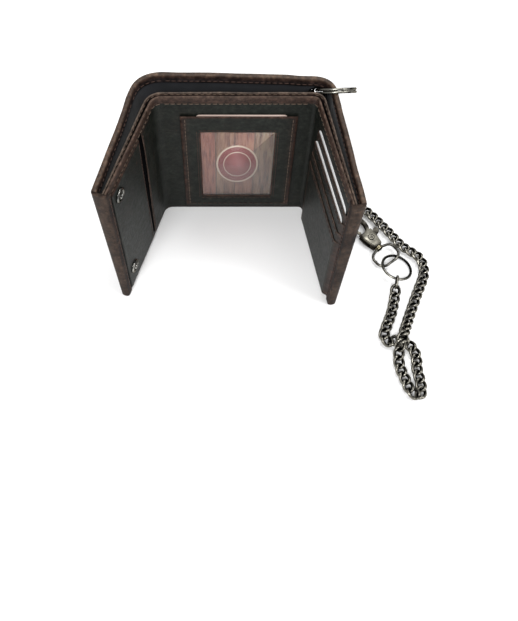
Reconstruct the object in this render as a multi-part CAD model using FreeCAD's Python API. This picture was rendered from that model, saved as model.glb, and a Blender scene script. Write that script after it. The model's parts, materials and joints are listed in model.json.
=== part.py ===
"""Tri-fold leather wallet with a curb chain, standing open on its bottom edge.

Three panels (flap, back, card panel) are joined by two upright folds.  Each
panel is a stack of leather sheets: shell and lining, bill divider, inner
leather, and what is sewn on it.  A split ring in an eyelet at the top corner
holds the chain, which ends in a ring, a swivel eye and a trigger snap hook.

Millimetres, +Z up, +Y towards the back.  The origin is the middle of the back
panel's inner leather, on the bottom edge.
"""
import FreeCAD
import Part
import math
import os

V = FreeCAD.Vector
X_AXIS = V(1, 0, 0)
Y_AXIS = V(0, 1, 0)
Z_AXIS = V(0, 0, 1)

# ---------------------------------------------------------------- wallet sizes
HEIGHT = 110.0
HALF_WIDTH = 44.35          # middle of the back panel to the crease of each fold
FLAP_LENGTH = 68.2          # crease to free edge
CARD_LENGTH = 72.1
FLAP_TURN = 72.4            # how far each panel is folded in, from flat
CARD_TURN = 79.7
FLAP_FOLD_RADIUS = 5.8      # fold axis to the inner leather
CARD_FOLD_RADIUS = 2.6

# Thickness of the stack, inner leather to shell, at the bottom and the top edge:
# where the back meets the fold, where the panel starts, and at the free edge.
FLAP_STACKS = ((9.0, 17.5), (8.0, 13.5), (4.4, 8.0))
CARD_STACKS = ((9.0, 15.5), (8.0, 11.5), (4.4, 7.0))
CORNER_BULGE = 1.2
DIVIDER_GAP = (0.4, 2.0)    # inner leather to bill divider

LEATHER = 1.2
SHELL = 1.4
LINING = 0.6
DIVIDER = 1.0
HEM_HEIGHT = 5.5            # turned-over top edge of the shell
HEM = 1.2
SEAM = 1.5                  # turned-in bottom edge that closes each compartment
CLEAR = 0.05

# ----------------------------------------------------------- things sewn inside
PLATE = 1.1
ID_X = (-31.0, 35.0)
ID_Z = (5.0, 95.0)
WINDOW_X = (-20.0, 23.0)
WINDOW_Z = (16.0, 81.0)
WINDOW_MARGIN = 3.0         # film beyond the opening
FILM = 0.2
PLATE_FRONT = -1.65         # front face of the window pocket
ID_CARD_X = (-22.0, 29.0)
ID_CARD_Z = (13.0, 97.0)

SLOT_S = (9.5, 64.5)        # along the card panel, from its fold
SLOT_LEATHER = 0.5
SLOT_TOPS = (95.0, 86.0, 76.0, 67.0)
SLOT_FOOTS = (46.0, 34.0, 22.0, 4.0)
SLOT_FACES = (-1.0, -2.0, -2.55, -3.1)      # offset of each slot's inner face
CARD_THICK = 0.4
CARD_FACES = (-0.45, -1.45)
CARD_SIZE = (54.0, 85.6)
CARD_SHOW = 2.2             # how far a card stands above its slot

FLAP_PLATE_S = (19.8, 58.6)
FLAP_PLATE_Z = (3.0, 104.0)
FLAP_POCKET_S = (5.0, 18.0)
COIN_STRIP = 0.65
BINDING = 5.0               # folded leather along each free edge
BINDING_LAP = 3.0           # binding over the ends of the panel's sheets
BINDING_LIP = 0.6

# ----------------------------------------------------------------------- snaps
SNAP_S = 51.3               # from the flap's fold
SNAP_Z = (18.0, 95.0)
CAP_RADIUS = 6.2
CAP_DOME = 1.5
SOCKET_RADIUS = 4.4
SOCKET_BORE = 2.8
SOCKET_PROUD = 1.0
STUD_RADIUS = 2.1
STUD_HEIGHT = 3.4
STUD_FLANGE = (4.2, 0.35)   # radius and thickness
CARD_CLOSING = 180.0 - CARD_TURN
FLAP_CLOSING = 101.4

# ------------------------------------------------------- ring, chain and hook
EYELET_TURN = 15.0          # place on the shell's corner
EYELET_Z = 99.4
EYELET_BORE = 4.1
EYELET_WALL = 0.4
EYELET_FLANGE = 5.6
WASHER_GAP = 1.7            # keeps the flat washer off the curved lining
SHELL_WRAP = 32.0           # the back shell runs this far round its corner
RING_RADIUS = 10.75         # to the middle of the wire
RING_WIRE = 0.75
RING_COIL = 1.65            # between the two coils
RING_OVER_TURN = 66.0       # where the ring crosses the shell's top edge
RING_OVER_Z = 112.0
RING_LEAN = V(0.13, 0.655, -0.745)

LINK_WIRE = 0.8
LINK_HALF_LENGTH = 3.5
LINK_HALF_WIDTH = 2.6
LINK_TWIST = 45.0
LINK_PITCH = 4.9
CHAIN_Z = 2.7
HANGING_LINKS = 18          # links that share the roll between ring and floor
END_LINK_WIRE = 0.75
END_LINK = (3.7, 2.55)      # half length and half width of the plain end links
END_LINK_START = 1.3        # from the wire it hangs on to the middle of its link
HOOK_LINK_START = 2.1
NEXT_LINK = 5.56            # middle of an end link to the middle of the next link

HOOK_RING_CENTRE = V(100.9, -46.8, 3.5)
HOOK_RING_RADIUS = 9.2
HOOK_RING_WIRE = 0.8
HOOK_RING_TILT = 15.5

# The hook is drawn with its pivot at the origin and the swivel eye towards +X.
HOOK_PIVOT = V(86.9, -26.3, 3.1)
HOOK_HEADING = -54.4        # of the hook's +X, in plan
BASE_OUTLINE = [(-5.2, -4.6), (-1, -4.8), (6.6, -3), (6.6, 3), (-1, 4.4), (-5.2, 4.2)]
BASE_HALF = 2.5             # half depth
SLOT_HALF = 1.15            # slot across the base that holds the trigger
SLOT_END = 3.6
ARM_ROOT = -4.6
ARM_HALF = 1.5
JAW_CENTRE = -12.0
JAW_HALF = (6.4, 3.15)      # inside the jaw: half length and half width
JAW_STOCK = 2.2
NOSE = (-17.2, -0.4)        # where the fixed arm ends
GATE_STOCK = 1.7
GATE_TIP = -16.8
LEVER_HALF = 0.6
HUB_RADIUS = 2.1
KNOB_CENTRE = (-2.8, 6.7)
KNOB_RADIUS = 2.0
KNOB_HALF = 1.3
RIVET_RADIUS = 0.95
RIVET_HEAD = (1.6, 0.45)    # radius and thickness
SPRING = (1.65, 0.2)        # radius of the coil and of its wire
NECK_RADIUS = 1.25
NECK_HEAD = (1.75, 0.9)     # radius and thickness, inside the base
COLLAR = (2.2, 2.2)         # radius and length
EYE_WIRE = 0.8
EYE_WIDTH = 8.1
EYE_END = 20.0
EYE_ROLL = 6.0              # how far the swivel is turned about the hook's axis

# Route of the chain, from under the wallet ring to the hook's ring.
CHAIN_ROUTE = [
    (56.6, 21.0, 66.0),
    (57.0, 21.8, 40.0),
    (58.6, 21.0, 17.0),
    (64.0, 16.4, CHAIN_Z + 0.6),
    (75.5, 6.0, CHAIN_Z),
    (88.0, -6.0, CHAIN_Z),
    (98.4, -19.4, CHAIN_Z),
    (107.0, -32.6, CHAIN_Z),
    (116.8, -38.4, CHAIN_Z),
    (118.6, -50.0, CHAIN_Z),
    (112.2, -62.5, CHAIN_Z),
    (105.6, -77.0, CHAIN_Z),
    (101.6, -86.0, 5.2),
    (98.9, -91.8, 8.6),
    (96.6, -97.0, 8.6),
    (94.6, -103.4, 4.2),
    (94.6, -111.0, CHAIN_Z),
    (97.4, -119.5, CHAIN_Z),
    (99.4, -126.6, CHAIN_Z),
    (105.4, -127.6, CHAIN_Z),
    (105.6, -119.6, CHAIN_Z),
    (104.4, -112.0, CHAIN_Z),
    (105.6, -104.0, CHAIN_Z),
    (102.6, -97.4, CHAIN_Z),
    (96.4, -93.6, CHAIN_Z),
    (91.2, -96.6, CHAIN_Z),
    (87.2, -93.0, CHAIN_Z),
    (90.0, -86.0, CHAIN_Z),
    (94.6, -76.6, CHAIN_Z),
    (97.0, -68.0, CHAIN_Z),
]


def save(name, shape):
    """Write one sub-part."""
    if not shape.isValid():
        print("not valid:", name)
    shape.exportStep("parts/%s.step" % name)
    print("%-22s %8.1f mm3  %d solids" % (name, shape.Volume, len(shape.Solids)))


def mix(a, b, t):
    return a + (b - a) * t


def at_height(pair, z):
    """A size that changes evenly from the bottom edge to the top edge."""
    return mix(pair[0], pair[1], z / HEIGHT)


# ------------------------------------------------------------ plan of the panels
class Side:
    """One folded side of the wallet: its fold axis and the panel beyond it."""

    def __init__(self, sign, radius, turn, length, stacks):
        corner = radius * math.tan(math.radians(turn / 2))
        self.sign = sign
        self.radius = radius
        self.turn = turn
        self.axis = V(sign * (HALF_WIDTH - corner), -radius, 0)
        self.length = length - corner
        self.stacks = stacks

    def normal(self, angle):
        """Outward direction, angle degrees round the fold."""
        a = math.radians(angle)
        return V(self.sign * math.sin(a), math.cos(a), 0)

    def along(self, angle):
        a = math.radians(angle)
        return V(self.sign * math.cos(a), -math.sin(a), 0)

    def fold_frame(self, angle):
        """Origin and outward normal of a section round the fold."""
        n = self.normal(angle)
        return self.axis + n * self.radius, n

    def panel_frame(self, s):
        """Origin and outward normal of a section s along the panel."""
        n = self.normal(self.turn)
        return self.axis + n * self.radius + self.along(self.turn) * s, n

    def fold_stack(self, angle, z):
        t = angle / self.turn
        smooth = t * t * (3 - 2 * t)
        bulge = CORNER_BULGE * math.sin(math.pi * t) ** 2
        corner = at_height(self.stacks[0], z)
        return mix(corner, at_height(self.stacks[1], z), smooth) + bulge

    def panel_stack(self, s, z):
        start = at_height(self.stacks[1], z)
        return mix(start, at_height(self.stacks[2], z), s / self.length)


FLAP = Side(-1, FLAP_FOLD_RADIUS, FLAP_TURN, FLAP_LENGTH, FLAP_STACKS)
CARD = Side(+1, CARD_FOLD_RADIUS, CARD_TURN, CARD_LENGTH, CARD_STACKS)


def back_frame(x):
    return V(x, 0, 0), Y_AXIS


def back_left_stack(z):
    return at_height(FLAP_STACKS[0], z)


def back_right_stack(z):
    return at_height(CARD_STACKS[0], z)


def section(frame, outline):
    """Closed wire of (outward offset, height) points in an upright section."""
    origin, normal = frame
    points = [origin + normal * n + Z_AXIS * z for n, z in outline]
    return Part.makePolygon(points + points[:1])


def sheet(frames, outlines):
    """Solid through upright sections, one outline for each frame."""
    wires = [section(f, o) for f, o in zip(frames, outlines)]
    return Part.makeLoft(wires, True, True)


# --------------------------------------------------- cross-sections of each layer
def shell_outline(stack):
    """Outer leather, turned over at the top to make the hem."""
    bottom = stack(0)
    top = stack(HEIGHT)
    step = stack(HEIGHT - HEM_HEIGHT)
    inner = SHELL + HEM
    return [
        (bottom - SHELL, 0),
        (bottom, 0),
        (top, HEIGHT),
        (top - inner, HEIGHT),
        (step - inner, HEIGHT - HEM_HEIGHT),
        (step - SHELL, HEIGHT - HEM_HEIGHT),
    ]


def lining_outline(stack):
    low = SEAM + CLEAR
    high = HEIGHT - HEM_HEIGHT - CLEAR
    outer = SHELL + CLEAR
    return [
        (stack(low) - outer - LINING, low),
        (stack(low) - outer, low),
        (stack(high) - outer, high),
        (stack(high) - outer - LINING, high),
    ]


def divider_outline(narrow=1.0):
    low = LEATHER + DIVIDER_GAP[0] * narrow
    high = LEATHER + DIVIDER_GAP[1] * narrow
    return [(low, 0), (low + DIVIDER, 0), (high + DIVIDER, HEIGHT), (high, HEIGHT)]


def inner_outline():
    return [(0, 0), (LEATHER, 0), (LEATHER, HEIGHT), (0, HEIGHT)]


def seam_outline(stack, narrow=1.0):
    """Turned-in leather that closes the bill compartment along the bottom."""
    near = LEATHER + DIVIDER_GAP[0] * narrow + DIVIDER + CLEAR
    return [
        (near + 0.1, 0),
        (stack(0) - SHELL - CLEAR, 0),
        (stack(SEAM) - SHELL - CLEAR, SEAM),
        (near + 0.1, SEAM),
    ]


def fold_angles(side, start=0.0):
    steps = 6
    return [mix(start, side.turn, i / steps) for i in range(steps + 1)]


def fold_sheet(side, outline_at, start=0.0):
    angles = fold_angles(side, start)
    frames = [side.fold_frame(a) for a in angles]
    return sheet(frames, [outline_at(a) for a in angles])


def panel_sheet(side, outline_at, s_from, s_to):
    frames = [side.panel_frame(s_from), side.panel_frame(s_to)]
    return sheet(frames, [outline_at(s_from), outline_at(s_to)])


def divider_narrow(side, s):
    """The divider closes onto the inner leather towards the free edge."""
    return mix(1.0, 0.15, s / side.length)


def panel_box(side, s_range, n_range, z_range):
    """Flat sheet on a side panel."""
    outline = [
        (n_range[0], z_range[0]),
        (n_range[1], z_range[0]),
        (n_range[1], z_range[1]),
        (n_range[0], z_range[1]),
    ]
    return panel_sheet(side, lambda s: outline, s_range[0], s_range[1])


def block(low, high):
    size = V(*high) - V(*low)
    return Part.makeBox(size.x, size.y, size.z, V(*low))


# ------------------------------------------------------------------- the panels
def corner_shell(outline_of):
    """Frames and outlines for the back shell, carried round its eyelet corner."""
    left = FLAP.axis.x
    right = CARD.axis.x
    frames = [back_frame(left), back_frame(right)]
    outlines = [outline_of(back_left_stack), outline_of(back_right_stack)]
    for i in range(1, 5):
        angle = SHELL_WRAP * i / 4
        frames.append(CARD.fold_frame(angle))
        outlines.append(outline_of(lambda z, a=angle: CARD.fold_stack(a, z)))
    return sheet(frames, outlines)


def eyelet_place():
    """Point on the shell's outer face and the outward normal there."""
    origin, normal = CARD.fold_frame(EYELET_TURN)
    offset = CARD.fold_stack(EYELET_TURN, EYELET_Z)
    lean = (CARD_STACKS[0][1] - CARD_STACKS[0][0]) / HEIGHT
    point = origin + normal * offset + Z_AXIS * EYELET_Z
    return point, (normal - Z_AXIS * lean).normalize()


def make_back():
    left = FLAP.axis.x
    right = CARD.axis.x
    ends = [back_frame(left), back_frame(right)]
    point, normal = eyelet_place()
    reach = EYELET_BORE + EYELET_WALL + CLEAR
    hole = Part.makeCylinder(reach, 12, point - normal * 8, normal)
    save("shell_back", corner_shell(shell_outline).cut(hole))
    save("lining_back", corner_shell(lining_outline).cut(hole))
    save("bill_divider_back", sheet(ends, [divider_outline()] * 2))
    save("inner_back_panel", sheet(ends, [inner_outline()] * 2))
    seams = [seam_outline(back_left_stack), seam_outline(back_right_stack)]
    save("bottom_seam_back", sheet(ends, seams))

    glaze = PLATE_FRONT + PLATE + CLEAR
    plate = block((ID_X[0], PLATE_FRONT, ID_Z[0]), (ID_X[1], glaze - CLEAR, ID_Z[1]))
    opening = block((WINDOW_X[0], -3, WINDOW_Z[0]), (WINDOW_X[1], 1, WINDOW_Z[1]))
    save("id_pocket_frame", plate.cut(opening))
    window = block(
        (WINDOW_X[0] - WINDOW_MARGIN, glaze, WINDOW_Z[0] - WINDOW_MARGIN),
        (WINDOW_X[1] + WINDOW_MARGIN, glaze + FILM, WINDOW_Z[1] + WINDOW_MARGIN),
    )
    save("id_window", window)
    card = block(
        (ID_CARD_X[0], glaze + FILM + CLEAR, ID_CARD_Z[0]),
        (ID_CARD_X[1], -CLEAR, ID_CARD_Z[1]),
    )
    save("id_insert_card", card)


def make_folds():
    for side, word, start in ((FLAP, "left", 0.0), (CARD, "right", SHELL_WRAP)):
        def stack_at(angle, side=side):
            return lambda z: side.fold_stack(angle, z)

        shell = fold_sheet(side, lambda a: shell_outline(stack_at(a)), start)
        save("shell_fold_" + word, shell)
        lining = fold_sheet(side, lambda a: lining_outline(stack_at(a)), start)
        save("lining_fold_" + word, lining)
        save("divider_fold_" + word, fold_sheet(side, lambda a: divider_outline()))
        save("inner_fold_" + word, fold_sheet(side, lambda a: inner_outline()))


def make_side_leather(side, word):
    """Shell, lining, divider, inner leather, bottom seam and free-edge binding."""
    end = side.length - BINDING + BINDING_LAP

    def stack_at(s):
        return lambda z: side.panel_stack(s, z)

    def outline(kind):
        return lambda s: kind(stack_at(s))

    save("shell_" + word, panel_sheet(side, outline(shell_outline), 0, end))
    save("lining_" + word, panel_sheet(side, outline(lining_outline), 0, end - 1))
    save(
        "divider_" + word,
        panel_sheet(side, lambda s: divider_outline(divider_narrow(side, s)), 0, end),
    )
    inner = panel_sheet(side, lambda s: inner_outline(), 0, end)
    if side is FLAP:
        inner = inner.cut(snap_holes())
    save("inner_" + word, inner)
    save(
        "bottom_seam_" + word,
        panel_sheet(
            side, lambda s: seam_outline(stack_at(s), divider_narrow(side, s)), 0, end
        ),
    )

    def binding_outline(s):
        stack = stack_at(s)
        return [
            (-BINDING_LIP, 0),
            (stack(0), 0),
            (stack(HEIGHT), HEIGHT),
            (-BINDING_LIP, HEIGHT),
        ]

    end_block = panel_sheet(side, binding_outline, end + CLEAR, side.length)
    lip_s = (side.length - BINDING, end + CLEAR)
    lip = panel_box(side, lip_s, (-BINDING_LIP, -CLEAR), (0, HEIGHT))
    save("edge_binding_" + word, end_block.fuse(lip).removeSplitter())


def closed_to_open(point, side, closing):
    """Where a point of the closed wallet lies once its panel is opened to rest."""
    turned = FreeCAD.Rotation(Z_AXIS, side.sign * closing)
    return side.axis + turned.multVec(point - side.axis)


def skin_place(side, s, z):
    """Point on a side panel's outer face, and the outward normal there."""
    origin, normal = side.panel_frame(s)
    skin = side.panel_stack(s, z)
    slope = side.panel_stack(s + 1, z) - skin
    lean = side.panel_stack(s, z + 1) - skin
    way = (normal - side.along(side.turn) * slope - Z_AXIS * lean).normalize()
    return origin + normal * skin + Z_AXIS * z, way


def flap_point(s, n, z):
    origin, normal = FLAP.panel_frame(s)
    return origin + normal * n + Z_AXIS * z


def snap_holes():
    """Holes that let the studs into the flap's inner leathers."""
    way = FLAP.normal(FLAP.turn)
    holes = []
    for z in SNAP_Z:
        start = flap_point(SNAP_S, -5, z)
        holes.append(Part.makeCylinder(SOCKET_BORE, 5 + LEATHER + 0.3, start, way))
    return Part.makeCompound(holes)


def make_snaps():
    """Cap and socket on the flap, stud and post on the card panel, twice."""
    flap_normal = FLAP.normal(FLAP.turn)
    for z, word in zip(SNAP_Z, ("bottom", "top")):
        skin, cap_way = skin_place(FLAP, SNAP_S, z)
        base = skin + cap_way * CLEAR
        ball_radius = (CAP_RADIUS ** 2 + CAP_DOME ** 2) / (2 * CAP_DOME)
        ball = Part.makeSphere(ball_radius, base + cap_way * (CAP_DOME - ball_radius))
        disc = Part.makeCylinder(CAP_RADIUS, CAP_DOME * 1.2, base, cap_way)
        save("snap_cap_" + word, ball.common(disc))

        face = -(PLATE + 2 * CLEAR)
        foot = flap_point(SNAP_S, face - CLEAR, z)
        inward = flap_normal * -1
        socket = Part.makeCylinder(SOCKET_RADIUS, SOCKET_PROUD, foot, inward)
        bore = Part.makeCylinder(SOCKET_BORE, SOCKET_PROUD + 2, foot - inward, inward)
        save("snap_socket_" + word, socket.cut(bore))

        # The stud stands where the socket comes to rest on the closed card panel.
        turned = FreeCAD.Rotation(Z_AXIS, FLAP_CLOSING)
        closed = FLAP.axis + turned.multVec(foot - FLAP.axis)
        spot = closed_to_open(closed, CARD, CARD_CLOSING)
        s = (spot - CARD.axis).dot(CARD.along(CARD.turn))
        skin, up = skin_place(CARD, s, z)
        seat = skin + up * CLEAR
        flange = Part.makeCylinder(STUD_FLANGE[0], STUD_FLANGE[1], seat, up)
        neck = Part.makeCylinder(STUD_RADIUS - 0.35, STUD_HEIGHT - 1.0, seat, up)
        head = Part.makeCylinder(STUD_RADIUS, 1.2, seat + up * (STUD_HEIGHT - 1.2), up)
        save("snap_stud_" + word, flange.fuse([neck, head]).removeSplitter())


def make_flap():
    make_side_leather(FLAP, "flap")
    depth = (-(PLATE + CLEAR), -CLEAR)
    plate = panel_box(FLAP, FLAP_PLATE_S, depth, FLAP_PLATE_Z)
    save("flap_plate", plate.cut(snap_holes()))
    strip = panel_box(FLAP, FLAP_POCKET_S, (-CLEAR - COIN_STRIP, -CLEAR), FLAP_PLATE_Z)
    save("flap_coin_strip", strip)


def make_card_panel():
    make_side_leather(CARD, "card_side")
    names = ("card_slot_1", "card_slot_2", "card_slot_3", "card_pocket")
    for name, face, foot, top in zip(names, SLOT_FACES, SLOT_FOOTS, SLOT_TOPS):
        save(name, panel_box(CARD, SLOT_S, (face, face + SLOT_LEATHER), (foot, top)))
    middle = (SLOT_S[0] + SLOT_S[1]) / 2
    wide = (middle - CARD_SIZE[0] / 2, middle + CARD_SIZE[0] / 2)
    for name, face, slot_top in zip(("card_1", "card_2"), CARD_FACES, SLOT_TOPS):
        top = slot_top + CARD_SHOW
        depth = (face, face + CARD_THICK)
        save(name, panel_box(CARD, wide, depth, (top - CARD_SIZE[1], top)))


# ------------------------------------------------------------- ring and eyelet
def ring_over_point():
    """Where the split ring passes over the shell's top edge."""
    origin, normal = CARD.fold_frame(RING_OVER_TURN)
    offset = CARD.fold_stack(RING_OVER_TURN, HEIGHT) - (SHELL + HEM) / 2
    point = origin + normal * offset
    return V(point.x, point.y, RING_OVER_Z)


def ring_place():
    """Centre and axis of the split ring, from the eyelet and the top edge."""
    point, normal = eyelet_place()
    hole = point - normal * (SHELL + LINING) / 2
    over = ring_over_point()
    chord = over - hole
    axis = chord.cross(RING_LEAN).normalize()
    outward = axis.cross(chord).normalize()
    if outward.x < 0:
        outward = outward * -1
    reach = math.sqrt(RING_RADIUS ** 2 - (chord.Length / 2) ** 2)
    return (hole + over) * 0.5 + outward * reach, axis


def ring_low_point():
    centre, axis = ring_place()
    down = (Z_AXIS * -1 + axis * axis.z).normalize()
    return centre + down * RING_RADIUS


def make_ring():
    point, normal = eyelet_place()
    wall = SHELL + LINING + 3 * CLEAR
    outer = Part.makeCylinder(EYELET_FLANGE, 0.5, point + normal * 4 * CLEAR, normal)
    barrel_radius = EYELET_BORE + EYELET_WALL
    inner_end = point - normal * (wall + 0.1)
    barrel = Part.makeCylinder(barrel_radius, wall + 0.6, inner_end, normal)
    bore = Part.makeCylinder(EYELET_BORE, 12, point - normal * 8, normal)
    save("eyelet", outer.fuse(barrel).cut(bore).removeSplitter())
    washer_end = point - normal * (wall + WASHER_GAP + 0.5)
    washer = Part.makeCylinder(EYELET_FLANGE, 0.5, washer_end, normal)
    opening = Part.makeCylinder(barrel_radius + 0.8, 2, washer_end - normal, normal)
    save("eyelet_washer", washer.cut(opening))

    centre, axis = ring_place()
    coils = []
    for way in (-1, 1):
        middle = centre + axis * (way * RING_COIL / 2)
        coils.append(Part.makeTorus(RING_RADIUS, RING_WIRE, middle, axis))
    down = ring_low_point() - centre
    side = axis.cross(down).normalize() * RING_RADIUS
    step = Part.makeCylinder(
        RING_WIRE * 0.9, RING_COIL, centre + side - axis * RING_COIL / 2, axis
    )
    save("wallet_ring", coils[0].fuse([coils[1], step]))


# ------------------------------------------------------------------------ chain
def rounded_path(points):
    """Straight runs joined by tangent arcs, as edges in order."""
    edges = []
    start = points[0]
    for a, b, c in zip(points, points[1:], points[2:]):
        u = (a - b).normalize()
        w = (c - b).normalize()
        half_turn = (math.pi - u.getAngle(w)) / 2
        cut = 0.45 * min((a - b).Length, (c - b).Length)
        radius = cut / math.tan(half_turn)
        centre = b + (u + w).normalize() * (radius / math.cos(half_turn))
        first = b + u * cut
        last = b + w * cut
        middle = centre + (b - centre).normalize() * radius
        edges.append(Part.makeLine(start, first))
        edges.append(Part.Arc(first, middle, last).toShape())
        start = last
    edges.append(Part.makeLine(start, points[-1]))
    return edges


def walk(edges, distance):
    """Point and direction a given distance along the path."""
    for edge in edges:
        if distance <= edge.Length:
            break
        distance -= edge.Length
    parameter = edge.getParameterByLength(min(distance, edge.Length))
    return edge.valueAt(parameter), edge.tangentAt(parameter).normalize()


def wire_loop(points, wire):
    """Closed bent wire: a rounded polygon in space with a round section."""
    count = len(points)
    bends = []
    for i in range(count):
        a = points[i - 1]
        b = points[i]
        c = points[(i + 1) % count]
        u = (a - b).normalize()
        w = (c - b).normalize()
        half_turn = (math.pi - u.getAngle(w)) / 2
        cut = 0.49 * min((a - b).Length, (c - b).Length)
        radius = cut / math.tan(half_turn)
        centre = b + (u + w).normalize() * (radius / math.cos(half_turn))
        middle = centre + (b - centre).normalize() * radius
        bends.append((b + u * cut, middle, b + w * cut))
    edges = []
    for i in range(count):
        first, middle, last = bends[i]
        edges.append(Part.Arc(first, middle, last).toShape())
        edges.append(Part.makeLine(last, bends[(i + 1) % count][0]))
    halves = []
    for run in (edges[:count], edges[count:]):
        start = run[0].valueAt(run[0].FirstParameter)
        heading = run[0].tangentAt(run[0].FirstParameter)
        profile = Part.Wire(Part.makeCircle(wire, start, heading))
        halves.append(Part.Wire(run).makePipeShell([profile], True, False))
    return halves[0].fuse(halves[1])


def curb_link():
    """Twisted oval link along X, its ends turned 45 degrees up and down."""
    outline = []
    for degrees in (22, 62, 118, 158, 202, 242, 298, 338):
        t = math.radians(degrees)
        outline.append((math.cos(t), math.sin(t)))
    points = []
    for x, y in outline:
        twist = math.radians(LINK_TWIST) * x
        px = LINK_HALF_LENGTH * 1.07 * x
        py = LINK_HALF_WIDTH * 1.13 * y
        points.append(V(px, py * math.cos(twist), py * math.sin(twist)))
    return wire_loop(points, LINK_WIRE)


def plain_link(half_length, half_width, wire):
    """Flat oval link in the XZ plane, long way along X."""
    straight = half_length - half_width
    bar = Part.makeCylinder(wire, 2 * straight, V(-straight, 0, half_width), X_AXIS)
    other = Part.makeCylinder(wire, 2 * straight, V(-straight, 0, -half_width), X_AXIS)
    ring = Part.makeTorus(half_width, wire, V(0, 0, 0), Y_AXIS)
    big = 4 * half_length
    right = ring.common(Part.makeBox(big, big, big, V(0, -big / 2, -big / 2)))
    left = ring.common(Part.makeBox(big, big, big, V(-big, -big / 2, -big / 2)))
    right.translate(V(straight, 0, 0))
    left.translate(V(-straight, 0, 0))
    return bar.fuse([other, right, left]).removeSplitter()


def placed(shape, centre, along, up):
    """Copy of a shape with its X along one direction and its Z nearest another."""
    y = up.cross(along).normalize()
    z = along.cross(y).normalize()
    matrix = FreeCAD.Matrix(
        along.x, y.x, z.x, centre.x,
        along.y, y.y, z.y, centre.y,
        along.z, y.z, z.z, centre.z,
        0, 0, 0, 1,
    )
    copy = shape.copy()
    copy.Placement = FreeCAD.Placement(matrix)
    return copy


def transported(edges, distances, up):
    """Points, directions and up vectors at distances, with no twist between them."""
    frames = []
    for distance in distances:
        point, along = walk(edges, distance)
        up = (up - along * up.dot(along)).normalize()
        frames.append((point, along, up))
    return frames


def hook_ring_frame():
    """Axis of the tilted hook ring, and where the chain holds it."""
    lift = V(-0.76, -0.65, 0)
    tilt = math.radians(HOOK_RING_TILT)
    axis = (Z_AXIS * math.cos(tilt) - lift * math.sin(tilt)).normalize()
    toward = V(-0.16, -0.987, 0)
    toward = (toward - axis * toward.dot(axis)).normalize()
    return axis, HOOK_RING_CENTRE + toward * HOOK_RING_RADIUS


def make_chain():
    low = ring_low_point()
    axis, hold = hook_ring_frame()
    edges = rounded_path([low] + [V(*p) for p in CHAIN_ROUTE] + [hold])
    total = sum(e.Length for e in edges)
    first = END_LINK_START + NEXT_LINK
    last = total - HOOK_LINK_START - NEXT_LINK
    count = int(round((last - first) / LINK_PITCH)) + 1
    pitch = (last - first) / (count - 1)
    print("chain path %.1f mm, %d curb links, pitch %.3f" % (total, count, pitch))
    distances = [first + i * pitch for i in range(count)]

    # Each end link is turned square to the wire that it hangs on.
    centre, ring_axis = ring_place()
    wire_way = (low - centre).cross(ring_axis).normalize()
    point, along = walk(edges, END_LINK_START)
    upright = wire_way.cross(along).normalize()
    plain = plain_link(END_LINK[0], END_LINK[1], END_LINK_WIRE)
    save("end_link_wallet", placed(plain, point, along, upright))
    point, along = walk(edges, total - HOOK_LINK_START)
    save("end_link_hook", placed(plain, point, along, Z_AXIS))

    # The links lie flat on the floor; the hanging ones roll to meet the end link.
    frames = transported(edges, distances[::-1], Z_AXIS)[::-1]
    point, along, up = frames[0]
    meeting = up + up.cross(along)
    turn = math.atan2(along.dot(meeting.cross(upright)), meeting.dot(upright))
    turn = math.degrees(math.atan(math.tan(turn)))
    link = curb_link()
    links = []
    for i, (point, along, up) in enumerate(frames):
        share = max(0.0, 1.0 - i / HANGING_LINKS)
        rolled = FreeCAD.Rotation(along, turn * share).multVec(up)
        links.append(placed(link, point, along, rolled))
    save("chain_links", Part.makeCompound(links))


# ------------------------------------------------------------------------- hook
def hook_frame(shape):
    """Place a shape drawn with the hook's axis along X and its flat side up."""
    copy = shape.copy()
    place = FreeCAD.Placement(HOOK_PIVOT, FreeCAD.Rotation(Z_AXIS, HOOK_HEADING))
    copy.Placement = place.multiply(copy.Placement)
    return copy


def prism(points, half):
    """Upright slab of a flat outline, evenly above and below the hook's plane."""
    face = Part.Face(Part.makePolygon([V(x, y, -half) for x, y in points + points[:1]]))
    return face.extrude(V(0, 0, 2 * half))


def pin(radius, half, x=0.0, y=0.0):
    return Part.makeCylinder(radius, 2 * half, V(x, y, -half), Z_AXIS)


def jaw_oval(stock, half):
    """Oval ring of flat stock round the inside of the jaw."""
    ovals = []
    for grow in (stock, 0):
        oval = Part.Ellipse(V(JAW_CENTRE, 0, -half), JAW_HALF[0] + grow, JAW_HALF[1] + grow)
        face = Part.Face(Part.Wire(oval.toShape()))
        ovals.append(face.extrude(V(0, 0, 2 * half)))
    return ovals[0].cut(ovals[1])


def make_hook_body():
    """Base with a cross slot, and the fixed arm that curls round the jaw on +Y."""
    base = prism(BASE_OUTLINE, BASE_HALF)
    base = base.cut(block((-9, -6, -SLOT_HALF), (SLOT_END, 6, SLOT_HALF)))
    arm = jaw_oval(JAW_STOCK, ARM_HALF)
    arm = arm.cut(block((NOSE[0], -12, -3), (2, NOSE[1], 3)))
    arm = arm.common(block((-30, -8, -3), (ARM_ROOT, 8, 3)))
    body = base.fuse(arm)
    head_room = Part.makeCylinder(NECK_HEAD[0] + 0.1, 1.1, V(SLOT_END - 1.2, 0, 0), X_AXIS)
    neck_bore = Part.makeCylinder(NECK_RADIUS + 0.1, 6, V(SLOT_END - 1, 0, 0), X_AXIS)
    body = body.cut([pin(RIVET_RADIUS + CLEAR, 5), head_room, neck_bore])
    save("hook_body", hook_frame(body.removeSplitter()))

    rivet = pin(RIVET_RADIUS, BASE_HALF)
    for way in (1, -1):
        foot = V(0, 0, way * BASE_HALF)
        head = Part.makeCylinder(RIVET_HEAD[0], RIVET_HEAD[1], foot, Z_AXIS * way)
        rivet = rivet.fuse(head)
    save("hook_rivet", hook_frame(rivet.removeSplitter()))


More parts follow.
